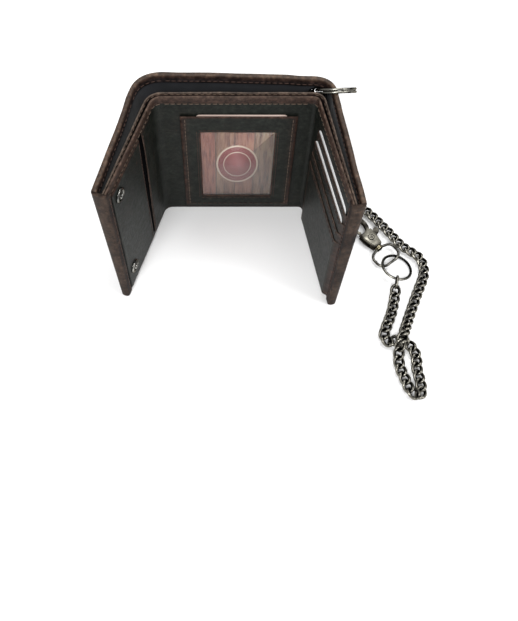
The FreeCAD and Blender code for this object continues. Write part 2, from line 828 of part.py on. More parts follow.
def make_trigger():
    """Lever on the pivot: gate towards -Y, thumb knob on +Y."""
    gate = jaw_oval(GATE_STOCK, LEVER_HALF)
    gate = gate.common(block((GATE_TIP, -8, -3), (-2, -2.2, 3)))
    web = prism([(-6, -4.4), (-3.6, -4.3), (0.8, -1.9), (0, 0.5), (-2.2, -0.5), (-6.6, -3)],
                LEVER_HALF)
    thumb = prism([(-1.6, 1.2), (0.9, 1.8), (-1.2, 6.6), (-3.6, 5.8)], LEVER_HALF)
    knob = pin(KNOB_RADIUS, KNOB_HALF, KNOB_CENTRE[0], KNOB_CENTRE[1])
    lever = pin(HUB_RADIUS, LEVER_HALF).fuse([gate, web, thumb, knob])
    lever = lever.cut(pin(RIVET_RADIUS + CLEAR, 2))
    save("hook_trigger", hook_frame(lever.removeSplitter()))

    level = V(0, 0, (LEVER_HALF + SLOT_HALF) / 2)
    spring = Part.makeTorus(SPRING[0], SPRING[1], level, Z_AXIS)
    save("trigger_spring", hook_frame(spring))


def make_swivel():
    """Swivel with its D-shaped eye, and the ring between the eye and the chain."""
    base_end = BASE_OUTLINE[2][0]
    start = SLOT_END - 1.1
    head = Part.makeCylinder(NECK_HEAD[0], NECK_HEAD[1], V(start, 0, 0), X_AXIS)
    neck = Part.makeCylinder(NECK_RADIUS, base_end + 1 - start, V(start, 0, 0), X_AXIS)
    collar = Part.makeCylinder(COLLAR[0], COLLAR[1], V(base_end + 0.3, 0, 0), X_AXIS)
    half_bow = [(base_end + 1.6, 2.0), (base_end + 3.4, EYE_WIDTH), (EYE_END, EYE_WIDTH)]
    bow = [V(x, -y, 0) for x, y in half_bow] + [V(x, y, 0) for x, y in half_bow[::-1]]
    eye = wire_loop(bow, EYE_WIRE)
    swivel = neck.fuse([head, collar, eye])
    swivel.rotate(V(0, 0, 0), X_AXIS, EYE_ROLL)
    save("swivel_eye", hook_frame(swivel))

    axis, hold = hook_ring_frame()
    ring = Part.makeTorus(HOOK_RING_RADIUS, HOOK_RING_WIRE, HOOK_RING_CENTRE, axis)
    save("hook_ring", ring)


def main():
    os.makedirs("parts", exist_ok=True)
    make_back()
    make_folds()
    make_flap()
    make_card_panel()
    make_snaps()
    make_ring()
    make_chain()
    make_hook_body()
    make_trigger()
    make_swivel()


main()
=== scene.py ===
"""Looks of the chain wallet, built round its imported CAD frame.

Lengths in this file are millimetres; mesh() turns them into metres.  Each sheet
of leather runs round the wallet through five regions: flap, left fold, back,
right fold and card side.  A station is one upright section on that way round.
"""
import json
import math

import bpy
from mathutils import Matrix, Quaternion, Vector, noise


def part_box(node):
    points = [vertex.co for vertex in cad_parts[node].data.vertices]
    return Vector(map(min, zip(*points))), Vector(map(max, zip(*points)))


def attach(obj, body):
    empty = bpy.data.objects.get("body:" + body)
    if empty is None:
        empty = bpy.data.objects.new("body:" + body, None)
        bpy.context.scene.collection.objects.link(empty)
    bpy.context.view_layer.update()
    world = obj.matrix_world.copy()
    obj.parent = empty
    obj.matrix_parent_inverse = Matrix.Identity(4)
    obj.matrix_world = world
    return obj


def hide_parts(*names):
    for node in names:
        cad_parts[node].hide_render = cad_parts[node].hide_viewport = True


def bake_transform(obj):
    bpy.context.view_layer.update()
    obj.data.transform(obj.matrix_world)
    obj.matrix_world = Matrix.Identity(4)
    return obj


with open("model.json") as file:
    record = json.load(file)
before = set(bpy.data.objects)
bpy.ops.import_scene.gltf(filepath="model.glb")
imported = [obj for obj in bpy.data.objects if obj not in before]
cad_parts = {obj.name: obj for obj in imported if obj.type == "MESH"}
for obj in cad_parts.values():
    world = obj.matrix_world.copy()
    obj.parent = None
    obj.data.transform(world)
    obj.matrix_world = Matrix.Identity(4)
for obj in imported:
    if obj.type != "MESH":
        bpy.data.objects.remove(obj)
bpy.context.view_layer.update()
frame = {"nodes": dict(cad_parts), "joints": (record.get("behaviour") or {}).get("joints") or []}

MM = 0.001
Z_AXIS = Vector((0, 0, 1))
NODES = frame["nodes"]
JOINTS = {joint["name"]: joint for joint in frame["joints"]}

# ------------------------------------------------------------------ wallet sizes
HEIGHT = 110.0
# Inner leather to shell at the bottom and the top, where the back meets the fold,
# where the panel starts, and at the free edge.
FLAP_STACKS = ((9.0, 17.5), (8.0, 13.5), (4.4, 8.0))
CARD_STACKS = ((9.0, 15.5), (8.0, 11.5), (4.4, 7.0))
CORNER_BULGE = 1.2
DIVIDER_GAP = (0.4, 2.0)
LEATHER = 1.2
SHELL = 1.4
LINING = 0.6
DIVIDER = 1.0
HEM_HEIGHT = 5.5
HEM = 1.2
SEAM = 1.5
CLEAR = 0.05
SHELL_WRAP = 32.0               # degrees of the right corner that stay with the back
BINDING = 5.0
BINDING_LAP = 3.0
BINDING_LIP = 0.6
FLAP_LENGTH = 63.953            # from the fold to the free edge
CARD_LENGTH = 69.934
FLAP_PLATE_S = (19.8, 58.6)
FLAP_PLATE_Z = (3.0, 104.0)
FLAP_STRIP_S = (5.0, 18.0)
SLIT_GAPE = 2.4
SNAP_S = 51.3
SNAP_Z = (18.0, 95.0)

# ---------------------------------------------------------------- chain and rings
CHAIN_Z = 2.7
CHAIN_ROUTE = [
    (56.6, 21.0, 66.0), (57.0, 21.8, 40.0), (58.6, 21.0, 17.0),
    (64.0, 16.4, CHAIN_Z + 0.6), (75.5, 6.0, CHAIN_Z), (88.0, -6.0, CHAIN_Z),
    (98.4, -19.4, CHAIN_Z), (107.0, -32.6, CHAIN_Z), (116.8, -38.4, CHAIN_Z),
    (118.6, -50.0, CHAIN_Z), (112.2, -62.5, CHAIN_Z), (105.6, -77.0, CHAIN_Z),
    (101.6, -86.0, 5.2), (98.9, -91.8, 8.6), (96.6, -97.0, 8.6),
    (94.6, -103.4, 4.2), (94.6, -111.0, CHAIN_Z), (97.4, -119.5, CHAIN_Z),
    (99.4, -126.6, CHAIN_Z), (105.4, -127.6, CHAIN_Z), (105.6, -119.6, CHAIN_Z),
    (104.4, -112.0, CHAIN_Z), (105.6, -104.0, CHAIN_Z), (102.6, -97.4, CHAIN_Z),
    (96.4, -93.6, CHAIN_Z), (91.2, -96.6, CHAIN_Z), (87.2, -93.0, CHAIN_Z),
    (90.0, -86.0, CHAIN_Z), (94.6, -76.6, CHAIN_Z), (97.0, -68.0, CHAIN_Z),
]
CARD_SIZE = (54.0, 85.6)        # a standard card, upright
CARD_START = 8.9                # from the fold to the cards
RING_CENTRE = Vector((55.589, 9.913, 103.965))
RING_AXIS = Vector((-0.0405, 0.7539, 0.6557)).normalized()
RING_RADIUS = 10.75
RING_WIRE = 0.75
RING_COIL = 1.65
HOOK_RING_CENTRE = Vector((100.9, -46.8, 3.5))
HOOK_RING_RADIUS = 9.2
HOOK_RING_WIRE = 0.8
HOOK_RING_TILT = 15.5
HOOK_PIVOT = Vector((86.9, -26.3, 3.1))
HOOK_HEADING = -54.4
COLLAR_START = 6.9              # from the hook's pivot to the swivel's collar
HOOK_FACE = 2.5                 # from the hook's middle to its flat faces
RIVET_HEAD = 0.45
EYELET_TURN = 15.0
LINK_WIRE = 0.95                # fuller than the CAD's, as the photograph shows it
LINK_HALF = (3.4, 2.45)
LINK_PITCH = 4.9
END_LINK_WIRE = 0.75
END_LINK = (3.7, 2.55)
END_LINK_START = 1.3
HOOK_LINK_START = 2.1
NEXT_LINK = 5.56
HANGING_LINKS = 18


def smooth(t):
    t = max(0.0, min(1.0, t))
    return t * t * (3 - 2 * t)


def fade(distance, reach):
    """1 at no distance, falling softly to 0 at reach."""
    return smooth(1 - distance / reach)


def mix(a, b, t):
    return a + (b - a) * t


def at_height(pair, z):
    return mix(pair[0], pair[1], z / HEIGHT)


def grain(u, z, size, seed=0.0):
    """Smooth repeatable unevenness from -1 to 1, about size millimetres long."""
    return noise.noise(Vector((u / size, z / size, seed)))


# ---------------------------------------------------------------- plan of the folds
class Side:
    """A fold and the panel beyond it, from its joint in the frame."""

    def __init__(self, joint, sign, turn, body, word, length, stacks):
        pos = JOINTS[joint]["pos_m"]
        self.axis = Vector((pos[0], pos[1], 0)) / MM
        self.radius = -self.axis.y
        self.sign = sign
        self.turn = turn
        self.body = body
        self.word = word
        self.length = length
        self.stacks = stacks
        self.arc = self.radius * math.radians(turn)

    def normal(self, angle):
        a = math.radians(angle)
        return Vector((self.sign * math.sin(a), math.cos(a), 0))

    def along(self, angle):
        a = math.radians(angle)
        return Vector((self.sign * math.cos(a), -math.sin(a), 0))


FLAP = Side("flap_fold", -1, -JOINTS["flap_fold"]["range_deg"][0], "flap", "flap",
            FLAP_LENGTH, FLAP_STACKS)
CARD = Side("card_panel_fold", 1, 180 - JOINTS["card_panel_fold"]["range_deg"][1],
            "card_panel", "card", CARD_LENGTH, CARD_STACKS)


class Station:
    """One upright section: where it is, and the thickness of the stack there."""

    def __init__(self, origin, normal, u, stack, free=0.0, bend=0.0):
        self.origin = origin
        self.normal = normal
        self.u = u              # way round the wallet, for unevenness and wear
        self.stack = stack
        self.free = free        # 0 at the fold to 1 at the free edge
        self.bend = bend        # 0 on a flat panel to 1 in the middle of a fold

    def point(self, n, z):
        return self.origin + self.normal * n + Z_AXIS * z


def back_station(x):
    t = (x - FLAP.axis.x) / (CARD.axis.x - FLAP.axis.x)

    def stack(z):
        return mix(at_height(FLAP_STACKS[0], z), at_height(CARD_STACKS[0], z), t)

    return Station(Vector((x, 0, 0)), Vector((0, 1, 0)), x, stack)


def fold_station(side, angle):
    normal = side.normal(angle)
    t = angle / side.turn
    bulge = CORNER_BULGE * math.sin(math.pi * t) ** 2

    def stack(z):
        corner = at_height(side.stacks[0], z)
        return mix(corner, at_height(side.stacks[1], z), smooth(t)) + bulge

    u = side.axis.x + side.sign * side.radius * math.radians(angle)
    return Station(side.axis + normal * side.radius, normal, u, stack,
                   bend=math.sin(math.pi * t))


def panel_station(side, s):
    normal = side.normal(side.turn)
    t = s / side.length

    def stack(z):
        return mix(at_height(side.stacks[1], z), at_height(side.stacks[2], z), t)

    origin = side.axis + normal * side.radius + side.along(side.turn) * s
    u = side.axis.x + side.sign * (side.arc + s)
    return Station(origin, normal, u, stack, free=t)


def spaced(start, end, step):
    count = max(2, int(math.ceil(abs(end - start) / step)) + 1)
    return [mix(start, end, i / (count - 1)) for i in range(count)]


def back_run(wrap=0.0):
    run = [back_station(x) for x in spaced(FLAP.axis.x, CARD.axis.x, 1.6)]
    if wrap:
        run += [fold_station(CARD, a) for a in spaced(0, wrap, 2.0)[1:]]
    return run


def fold_run(side, start=0.0):
    return [fold_station(side, a) for a in spaced(start, side.turn, 2.4)]


def panel_run(side, end):
    return [panel_station(side, s) for s in spaced(0, end, 1.6)]


# ------------------------------------------------------------------- mesh building
def mesh(name, points, faces, material, wear=None):
    """New smooth mesh object from points in millimetres."""
    data = bpy.data.meshes.new(name)
    data.from_pydata([p * MM for p in points], [], faces)
    data.materials.append(material)
    if wear is not None:
        layer = data.attributes.new("wear", "FLOAT", "POINT")
        layer.data.foreach_set("value", wear)
    data.shade_smooth()
    data.update()
    piece = bpy.data.objects.new(name, data)
    bpy.context.scene.collection.objects.link(piece)
    return piece


def ring_faces(rings, count, first=0, closed=False, ends=True):
    """Faces between neighbouring rings of count points, and over the two end rings."""
    faces = []
    for r in range(rings if closed else rings - 1):
        a = first + r * count
        b = first + (r + 1) % rings * count
        for k in range(count):
            m = (k + 1) % count
            faces.append((a + k, a + m, b + m, b + k))
    if ends and not closed:
        last = first + (rings - 1) * count
        faces.append(tuple(range(first, first + count))[::-1])
        faces.append(tuple(range(last, last + count)))
    return faces


def circle(centre, side, third, radius, count, flat=1.0):
    """Points of a circle, or of an ellipse when flat is not 1."""
    points = []
    for k in range(count):
        a = 2 * math.pi * k / count
        points.append(centre + side * (math.cos(a) * radius)
                      + third * (math.sin(a) * radius * flat))
    return points


def settle(piece, body, *nodes, slot=None):
    """Rides a piece on a body, in place of CAD nodes."""
    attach(piece, body)
    if nodes:
        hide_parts(*nodes)
    return piece


def bend(piece, side, start=0.0):
    """Bakes a piece's placement into its mesh; the piece does not bend round the fold."""
    a = side.axis + side.normal(start) * 10
    b = side.axis + side.normal(side.turn) * 10
    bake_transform(piece)
    return piece


def swept(stations, loop, name, material, capped=False, hole=None):
    """Sheet through stations; loop(station) gives closed (n, z, wear) points.

    With capped, the last section is closed.  hole(point) is true inside an opening."""
    rings = [loop(station) for station in stations]
    points = [station.point(n, z) for station, ring in zip(stations, rings)
              for n, z, _ in ring]
    wear = [w for ring in rings for _, _, w in ring]
    count = len(rings[0])
    faces = ring_faces(len(stations), count)
    cap = faces.pop()
    faces.pop()
    if hole:
        faces = [f for f in faces if not hole(sum((points[q] for q in f), Vector()) / 4)]
    if capped:
        faces.append(cap)
    way = stations[-1].origin - stations[0].origin
    if stations[0].normal.cross(Z_AXIS).dot(way) < 0:
        faces = [face[::-1] for face in faces]
    return mesh(name, points, faces, material, wear)


def skin_loop(outer, inner, low, high, step, soft, wear):
    """Closed outline between two faces, with soft top and bottom corners.

    outer(z) and inner(z) give the offsets; wear(z, face) the amount of wear."""
    radius_high = min(soft, (outer(high) - inner(high)) / 2 - 0.02)
    radius_low = min(soft * 0.5, (outer(low) - inner(low)) / 2 - 0.02)
    count = round(HEIGHT / step)
    rows = [mix(low + radius_low, high - radius_high, i / count)
            for i in range(count + 1)]
    ring = [(outer(z), z, wear(z, "outer")) for z in rows]

    def round_end(end, radius, way, faces):
        """Both corners at one end; way is 1 at the top and -1 at the bottom."""
        for face, angles in zip(faces, ((30, 60, 90), (90, 60, 30))):
            edge, sign = (outer(end), -1) if face == "outer" else (inner(end), 1)
            for degrees in angles:
                a = math.radians(degrees)
                ring.append((edge + sign * radius * (1 - math.cos(a)),
                             end - way * radius * (1 - math.sin(a)), wear(end, face)))

    round_end(high, radius_high, 1, ("outer", "inner"))
    ring += [(inner(z), z, wear(z, "inner")) for z in rows[::-1]]
    round_end(low, radius_low, -1, ("inner", "outer"))
    return ring


def soft_solid(name, place, outline, depth, material, bevel=0):
    """Slab of a flat (across, up) outline; place(a, b, n) puts it in the wallet."""
    count = len(outline)
    points = [place(a, b, n) for n in depth for a, b in outline]
    faces = [tuple(range(count))[::-1], tuple(range(count, 2 * count))]
    faces += ring_faces(2, count, ends=False)
    piece = mesh(name, points, faces, material)
    if bevel:
        add_bevel(piece, bevel)
    return piece


def add_bevel(piece, width, angle=35):
    bevel = piece.modifiers.new("soft_edges", "BEVEL")
    bevel.width = width * MM
    bevel.segments = 3
    bevel.limit_method = "ANGLE"
    bevel.angle_limit = math.radians(angle)


def rounded_rectangle(left, bottom, right, top, radius):
    corners = ((right - radius, top - radius, 0), (left + radius, top - radius, 90),
               (left + radius, bottom + radius, 180), (right - radius, bottom + radius, 270))
    outline = []
    for x, y, start in corners:
        for degrees in spaced(0, 90, 22.5):
            a = math.radians(start + degrees)
            outline.append((x + radius * math.cos(a), y + radius * math.sin(a)))
    return outline


def grid_sheet(name, place, across, up, offset, thickness, material, wear,
               step=2.0, lift=None, window=None, hole=None):
    """Thin leather sheet over a rectangle, with rounded rims and an optional window.

    place(a, b, n) gives the point; offset is the face nearer the viewer, and
    lift(a, b) raises it.  window is (left, bottom, right, top) of an opening, and
    hole(a, b) is true where a snap goes through."""
    def lines(low, high, cuts):
        values = [low + 0.05] + spaced(low + 0.4, high - 0.4, step) + [high - 0.05]
        for cut in cuts:
            values = [v for v in values if abs(v - cut) > 0.45]
            values += [cut - 0.35, cut, cut + 0.35]
        return sorted(values)

    a_values = lines(across[0], across[1], window[0::2] if window else ())
    b_values = lines(up[0], up[1], window[1::2] if window else ())
    wide = len(a_values)
    tall = len(b_values)

    def at_window(a, b):
        inside = window[0] <= a <= window[2] and window[1] <= b <= window[3]
        return inside and (a in window[0::2] or b in window[1::2])

    points = []
    values = []
    for skin in (0, 1):
        for j, b in enumerate(b_values):
            for i, a in enumerate(a_values):
                rim = i in (0, wide - 1) or j in (0, tall - 1)
                rim = rim or bool(window) and at_window(a, b)
                inset = 0.3 * thickness if rim else 0.0
                if skin:
                    n = offset + thickness - inset
                else:
                    n = offset + inset - (lift(a, b) if lift else 0.0)
                points.append(place(a, b, n))
                values.append(wear(a, b))

    def open_cell(i, j):
        if not (0 <= i < wide - 1 and 0 <= j < tall - 1):
            return True
        a = (a_values[i] + a_values[i + 1]) / 2
        b = (b_values[j] + b_values[j + 1]) / 2
        if window and window[0] < a < window[2] and window[1] < b < window[3]:
            return True
        return bool(hole) and hole(a, b)

    faces = []
    back = wide * tall
    for j in range(tall - 1):
        for i in range(wide - 1):
            if open_cell(i, j):
                continue
            q = j * wide + i
            corners = (q, q + 1, q + 1 + wide, q + wide)
            faces.append(corners)
            faces.append(tuple(back + c for c in corners[::-1]))
            around = ((i, j - 1), (i + 1, j), (i, j + 1), (i - 1, j))
            for k, (m, n) in enumerate(around):
                if open_cell(m, n):
                    c, d = corners[k], corners[(k + 1) % 4]
                    faces.append((d, c, back + c, back + d))
    return mesh(name, points, faces, material, values)


LATHE_SIDES = 36


def lathe(name, centre, axis, profile, material):
    """Round piece from (radius, height) points along an axis."""
    side = axis.orthogonal().normalized()
    third = axis.cross(side)
    points = []
    for radius, height in profile:
        points += circle(centre + axis * height, side, third, radius, LATHE_SIDES)
    return mesh(name, points, ring_faces(len(profile), LATHE_SIDES, ends=False), material)


STITCH = ((0.0, 0.35, -0.05), (0.12, 0.85, 0.35), (0.5, 1.0, 0.6),
          (0.88, 0.85, 0.35), (1.0, 0.35, -0.05))    # way along, size, height
STITCH_SIDES = 6
STITCH_START = 1.2              # from the row's start to its first dash


def stitches(name, line, material, body=None, pitch=3.3, dash=2.5, wire=0.28):
    """Row of thread dashes; line is a list of (point, outward normal)."""
    lengths = [0.0]
    for (p, _), (q, _) in zip(line, line[1:]):
        lengths.append(lengths[-1] + (q - p).length)

    def at(distance):
        for i in range(len(line) - 1):
            if distance <= lengths[i + 1]:
                t = (distance - lengths[i]) / (lengths[i + 1] - lengths[i])
                return (line[i][0].lerp(line[i + 1][0], t),
                        line[i][1].lerp(line[i + 1][1], t).normalized())
        return line[-1]

    points = []
    faces = []
    distance = STITCH_START
    while distance + dash < lengths[-1]:
        faces += ring_faces(len(STITCH), STITCH_SIDES, len(points))
        for share, size, height in STITCH:
            p, normal = at(distance + dash * share)
            q, _ = at(min(lengths[-1], distance + dash * share + 0.3))
            side = normal.cross((q - p).normalized()).normalized()
            points += circle(p + normal * (wire * height), side, normal, wire * size,
                             STITCH_SIDES, 0.8)
        distance += pitch
    piece = mesh(name, points, faces, material)
    return settle(piece, body) if body else piece


def tube(points, radius, sides, closed=True, up=None):
    """Points and faces of a round wire along points."""
    count = len(points)
    verts = []
    side = None
    for i, p in enumerate(points):
        a = points[i - 1] if closed or i else p
        b = points[(i + 1) % count] if closed or i < count - 1 else p
        along = (b - a).normalized()
        if up is not None:
            side = along.cross(up).normalized()
        elif side is None:
            side = along.orthogonal().normalized()
        else:
            side = (side - along * side.dot(along)).normalized()
        verts += circle(p, side, along.cross(side), radius, sides)
    return verts, ring_faces(count, sides, closed=closed)


def wire_piece(name, points, radius, sides, material, body, *nodes, slot, **how):
    """Round wire on a body, with its dark finish rubbed off on the outside."""
    verts, faces = tube(points, radius, sides, **how)
    wear = rubbed(points, verts, sides, radius)
    return settle(mesh(name, verts, faces, material, wear), body, *nodes, slot=slot)


def rubbed(outline, points, sides, wire):
    """Wear of a wire loop: most on the side that faces away from its middle."""
    values = []
    middle = sum(outline, Vector()) / len(outline)
    for i, p in enumerate(points):
        core = outline[i // sides]
        values.append(0.5 + 0.5 * ((p - middle).length - (core - middle).length) / wire)
    return values


# ----------------------------------------------------------------------- materials
class Nodes:
    """Small helper that adds and links shader nodes."""

    def __init__(self, name):
        self.material = bpy.data.materials.new(name)
        self.material.use_nodes = True
        self.tree = self.material.node_tree
        self.shader = self.tree.nodes["Principled BSDF"]

    def add(self, kind, **settings):
        node = self.tree.nodes.new(kind)
        for key, value in settings.items():
            setattr(node, key, value)
        return node

    def link(self, source, target):
        self.tree.links.new(source, target)

    def feed(self, socket, value):
        """Gives a socket a colour, a number or another node's output."""
        if isinstance(value, tuple):
            socket.default_value = (*value, 1.0)
        elif isinstance(value, (int, float)):
            socket.default_value = value
        else:
            self.link(value, socket)

    def coordinates(self):
        return self.add("ShaderNodeTexCoord").outputs["Object"]

    def noise(self, scale, detail, rough, vector=None):
        node = self.add("ShaderNodeTexNoise")
        node.inputs["Scale"].default_value = scale
        node.inputs["Detail"].default_value = detail
        node.inputs["Roughness"].default_value = rough
        self.link(vector or self.coordinates(), node.inputs["Vector"])
        return node.outputs["Fac"]

    def cells(self, scale, vector):
        node = self.add("ShaderNodeTexVoronoi")
        node.inputs["Scale"].default_value = scale
        self.link(vector, node.inputs["Vector"])
        return node.outputs["Distance"]

    def ramp(self, source, stops):
        node = self.add("ShaderNodeValToRGB")
        elements = node.color_ramp.elements
        while len(elements) < len(stops):
            elements.new(0.5)
        for element, (position, colour) in zip(elements, stops):
            element.position = position
            if isinstance(colour, (int, float)):
                colour = (colour, colour, colour)
            element.color = (*colour, 1.0)
        self.link(source, node.inputs["Fac"])
        return node.outputs["Color"]

    def math(self, operation, a, b=0.0):
        node = self.add("ShaderNodeMath", operation=operation)
        self.feed(node.inputs[0], a)
        self.feed(node.inputs[1], b)
        return node.outputs["Value"]

    def blend(self, factor, a, b, kind="MIX"):
        node = self.add("ShaderNodeMix", data_type="RGBA", blend_type=kind)
        for socket, value in ((0, factor), (6, a), (7, b)):
            self.feed(node.inputs[socket], value)
        return node.outputs[2]

    def multiply(self, a, b):
        return self.blend(1.0, a, b, "MULTIPLY")

    def bump(self, height, strength, distance, normal=None):
        node = self.add("ShaderNodeBump")
        node.inputs["Strength"].default_value = strength
        node.inputs["Distance"].default_value = distance
        self.link(height, node.inputs["Height"])
        if normal is not None:
            self.link(normal, node.inputs["Normal"])
        return node.outputs["Normal"]

    def attribute(self, name):
        return self.add("ShaderNodeAttribute", attribute_name=name).outputs["Fac"]

    def set(self, **sockets):
        names = {"base": "Base Color", "rough": "Roughness", "metal": "Metallic",
                 "specular": "Specular IOR Level", "normal": "Normal",
                 "tint": "Specular Tint", "sheen": "Sheen Weight", "alpha": "Alpha"}
        for key, value in sockets.items():
            self.feed(self.shader.inputs[names[key]], value)
        return self.material


PORES = 1000.0 / 0.9            # leather pores in a metre


def leather(name, dark, worn, edge, roughness, pull=0.5, shine=0.22):
    """Pull-up leather: dark in the middle, brown where it is worn."""
    m = Nodes(name)
    where = m.coordinates()
    patches = m.noise(45.0, 4.0, 0.65, where)
    fine = m.noise(420.0, 3.0, 0.6, where)
    cells = m.cells(PORES, where)
    worn_by = m.math("ADD", m.attribute("wear"),
                     m.math("MULTIPLY", m.math("SUBTRACT", patches, 0.5), pull))
    worn_by = m.math("ADD", worn_by,
                     m.math("MULTIPLY", m.math("SUBTRACT", fine, 0.5), 0.22))
    half_worn = tuple(mix(a, b, 0.25) for a, b in zip(dark, worn))
    colour = m.ramp(worn_by, [(0.0, dark), (0.30, half_worn), (0.62, worn), (1.0, edge)])
    mottle = m.ramp(fine, [(0.30, 0.40), (0.55, 1.0), (0.75, 1.75)])
    colour = m.multiply(colour, mottle)
    cloudy = m.ramp(m.noise(110.0, 5.0, 0.7, where), [(0.35, 0.65), (0.70, 1.55)])
    colour = m.multiply(colour, cloudy)
    pits = m.ramp(cells, [(0.0, 0.0), (0.55, 1.0)])
    normal = m.bump(pits, 0.35, 0.00014)
    normal = m.bump(fine, 0.45, 0.0003, normal)
    normal = m.bump(patches, 0.22, 0.0015, normal)
    rough = m.ramp(fine, [(0.2, roughness - 0.08), (0.8, roughness + 0.12)])
    return m.set(base=colour, rough=rough, normal=normal, specular=shine)


def fabric(name, colour, light, sheen=0.15, shine=0.2):
    """Fine woven lining."""
    m = Nodes(name)
    where = m.coordinates()
    weave = m.add("ShaderNodeTexWave", wave_type="BANDS", bands_direction="DIAGONAL")
    weave.inputs["Scale"].default_value = 700.0
    weave.inputs["Distortion"].default_value = 1.5
    m.link(where, weave.inputs["Vector"])
    soft = m.noise(90.0, 4.0, 0.6, where)
    base = m.blend(weave.outputs["Fac"], colour, light)
    base = m.multiply(base, m.ramp(soft, [(0.3, 0.7), (0.7, 1.15)]))
    normal = m.bump(weave.outputs["Fac"], 0.3, 0.0001)
    return m.set(base=base, rough=0.85, normal=normal, specular=shine, sheen=sheen)


EDGE_TINT = (0.22, 0.21, 0.19)  # how bright old plating is at a glancing angle


def metal(name, dark, bright, roughness, polished=False):
    """Plated metal with a darkened, slightly uneven finish.

    With polished, the wear attribute tells where the dark finish is rubbed off."""
    m = Nodes(name)
    where = m.coordinates()
    cloud = m.noise(220.0, 4.0, 0.6, where)
    fine = m.noise(1500.0, 2.0, 0.5, where)
    shade = cloud
    if polished:
        rubbed = m.ramp(m.attribute("wear"), [(0.25, 0.0), (0.85, 1.0)])
        shade = m.math("ADD", m.math("MULTIPLY", cloud, 0.5),
                       m.math("MULTIPLY", rubbed, 0.42))
    colour = m.ramp(shade, [(0.38, dark), (0.70, bright)])
    rough = m.ramp(cloud, [(0.3, roughness + 0.14), (0.7, roughness - 0.06)])
    normal = m.bump(fine, 0.12, 0.00005)
    return m.set(base=colour, rough=rough, normal=normal, metal=1.0, tint=EDGE_TINT)


def plain(name, colour, light, texture, rough, specular, relief=0.0):
    """Two close colours; texture is a noise's scale, detail and roughness."""
    m = Nodes(name)
    tone = m.noise(*texture)
    m.set(base=m.blend(tone, colour, light), rough=rough, specular=specular)
    if relief:
        m.set(normal=m.bump(tone, relief, 0.0001))
    return m.material


def thread(name, colour, light):
    return plain(name, colour, light, (900.0, 2.0, 0.5), 0.75, 0.25, 0.4)


def paper(name, colour, light):
    return plain(name, colour, light, (260.0, 5.0, 0.6), 0.5, 0.35, 0.08)


def plain_print(name, colour, light):
    return plain(name, colour, light, (120.0, 3.0, 0.6), 0.35, 0.5)


def printed_card():
    """Picture behind the window: upright boards of old wood, without lettering."""
    m = Nodes("insert_print")
    where = m.coordinates()
    split = m.add("ShaderNodeSeparateXYZ")
    m.link(where, split.inputs["Vector"])
    board = m.math("MULTIPLY", split.outputs["X"], 1000 / 11.5)
    index = m.math("FLOOR", board)
    seam = m.math("FRACT", board)
    shift = m.add("ShaderNodeCombineXYZ")
    m.link(m.math("MULTIPLY", split.outputs["X"], 9.0), shift.inputs["X"])
    m.link(m.math("MULTIPLY", index, 3.7), shift.inputs["Y"])
    m.link(split.outputs["Z"], shift.inputs["Z"])
    streak = m.noise(55.0, 6.0, 0.65, shift.outputs["Vector"])
    tint = m.noise(1.7, 0.0, 0.5, shift.outputs["Vector"])
    wood = m.ramp(streak, [(0.30, (0.040, 0.014, 0.010)), (0.45, (0.19, 0.075, 0.050)),
                           (0.58, (0.30, 0.165, 0.11)), (0.75, (0.25, 0.20, 0.15))])
    hue = m.ramp(tint, [(0.35, (1.0, 0.66, 0.60)), (0.65, (0.80, 0.92, 0.78))])
    wood = m.multiply(wood, hue)
    gap = m.ramp(seam, [(0.0, 0.25), (0.06, 1.0), (0.95, 1.0), (1.0, 0.25)])
    return m.set(base=m.multiply(wood, gap), rough=0.35, specular=0.5)


def clear_film():
    m = Nodes("window_film")
    ripple = m.noise(60.0, 2.0, 0.5)
    m.material.surface_render_method = "BLENDED"
    return m.set(base=(0.95, 0.95, 0.95), rough=0.08, alpha=0.05, specular=0.5,
                 normal=m.bump(ripple, 0.15, 0.0004))


BLACK_GREEN = (0.0095, 0.0112, 0.0090)
BLUE_BLACK = (0.0095, 0.0100, 0.0120)
RED_BROWN = (0.033, 0.0175, 0.0130)
OLIVE_BROWN = (0.070, 0.046, 0.031)

OUTER = leather("outer_leather", BLUE_BLACK, RED_BROWN, OLIVE_BROWN, 0.52)
INNER = leather("inner_leather", BLACK_GREEN, RED_BROWN, (0.062, 0.041, 0.031), 0.46,
                shine=0.11)
DIVIDING = leather("divider_leather", BLUE_BLACK, (0.034, 0.019, 0.014),
                   (0.075, 0.054, 0.041), 0.55)
EDGING = leather("edge_leather", (0.0065, 0.0045, 0.0040), (0.0135, 0.0082, 0.0066),
                 (0.040, 0.026, 0.019), 0.58, pull=1.5, shine=0.09)
CLOTH = fabric("lining_cloth", (0.0060, 0.0068, 0.0090), (0.0160, 0.0175, 0.0210))
# Near-black sheet for the slit: painted shade inside the coin pocket's mouth, far darker than
# the lining cloth.
SLIT_SHADE = fabric("painted_slit_shade", (0.0008, 0.0008, 0.0010), (0.0018, 0.0019, 0.0023),
                    sheen=0.0, shine=0.02)
CREAM = thread("cream_thread", (0.38, 0.31, 0.21), (0.62, 0.54, 0.40))
TAN = thread("tan_thread", (0.080, 0.054, 0.040), (0.16, 0.115, 0.085))
DARK_THREAD = thread("dark_thread", (0.030, 0.016, 0.013), (0.085, 0.050, 0.038))
WHITE_CARD = paper("card_white", (0.70, 0.70, 0.70), (0.84, 0.84, 0.84))
CREAM_CARD = paper("card_cream", (0.40, 0.29, 0.25), (0.56, 0.45, 0.39))
PRINT = printed_card()
BADGE = plain_print("badge_print", (0.16, 0.020, 0.022), (0.24, 0.035, 0.035))
BADGE_RIM = plain_print("badge_rim", (0.46, 0.36, 0.28), (0.58, 0.48, 0.38))
FILM = clear_film()
ANTIQUE = metal("antique_brass", (0.20, 0.155, 0.085), (0.48, 0.40, 0.26), 0.36)
GUNMETAL = metal("gunmetal", (0.010, 0.0095, 0.009), (0.25, 0.238, 0.205), 0.25,
                 polished=True)
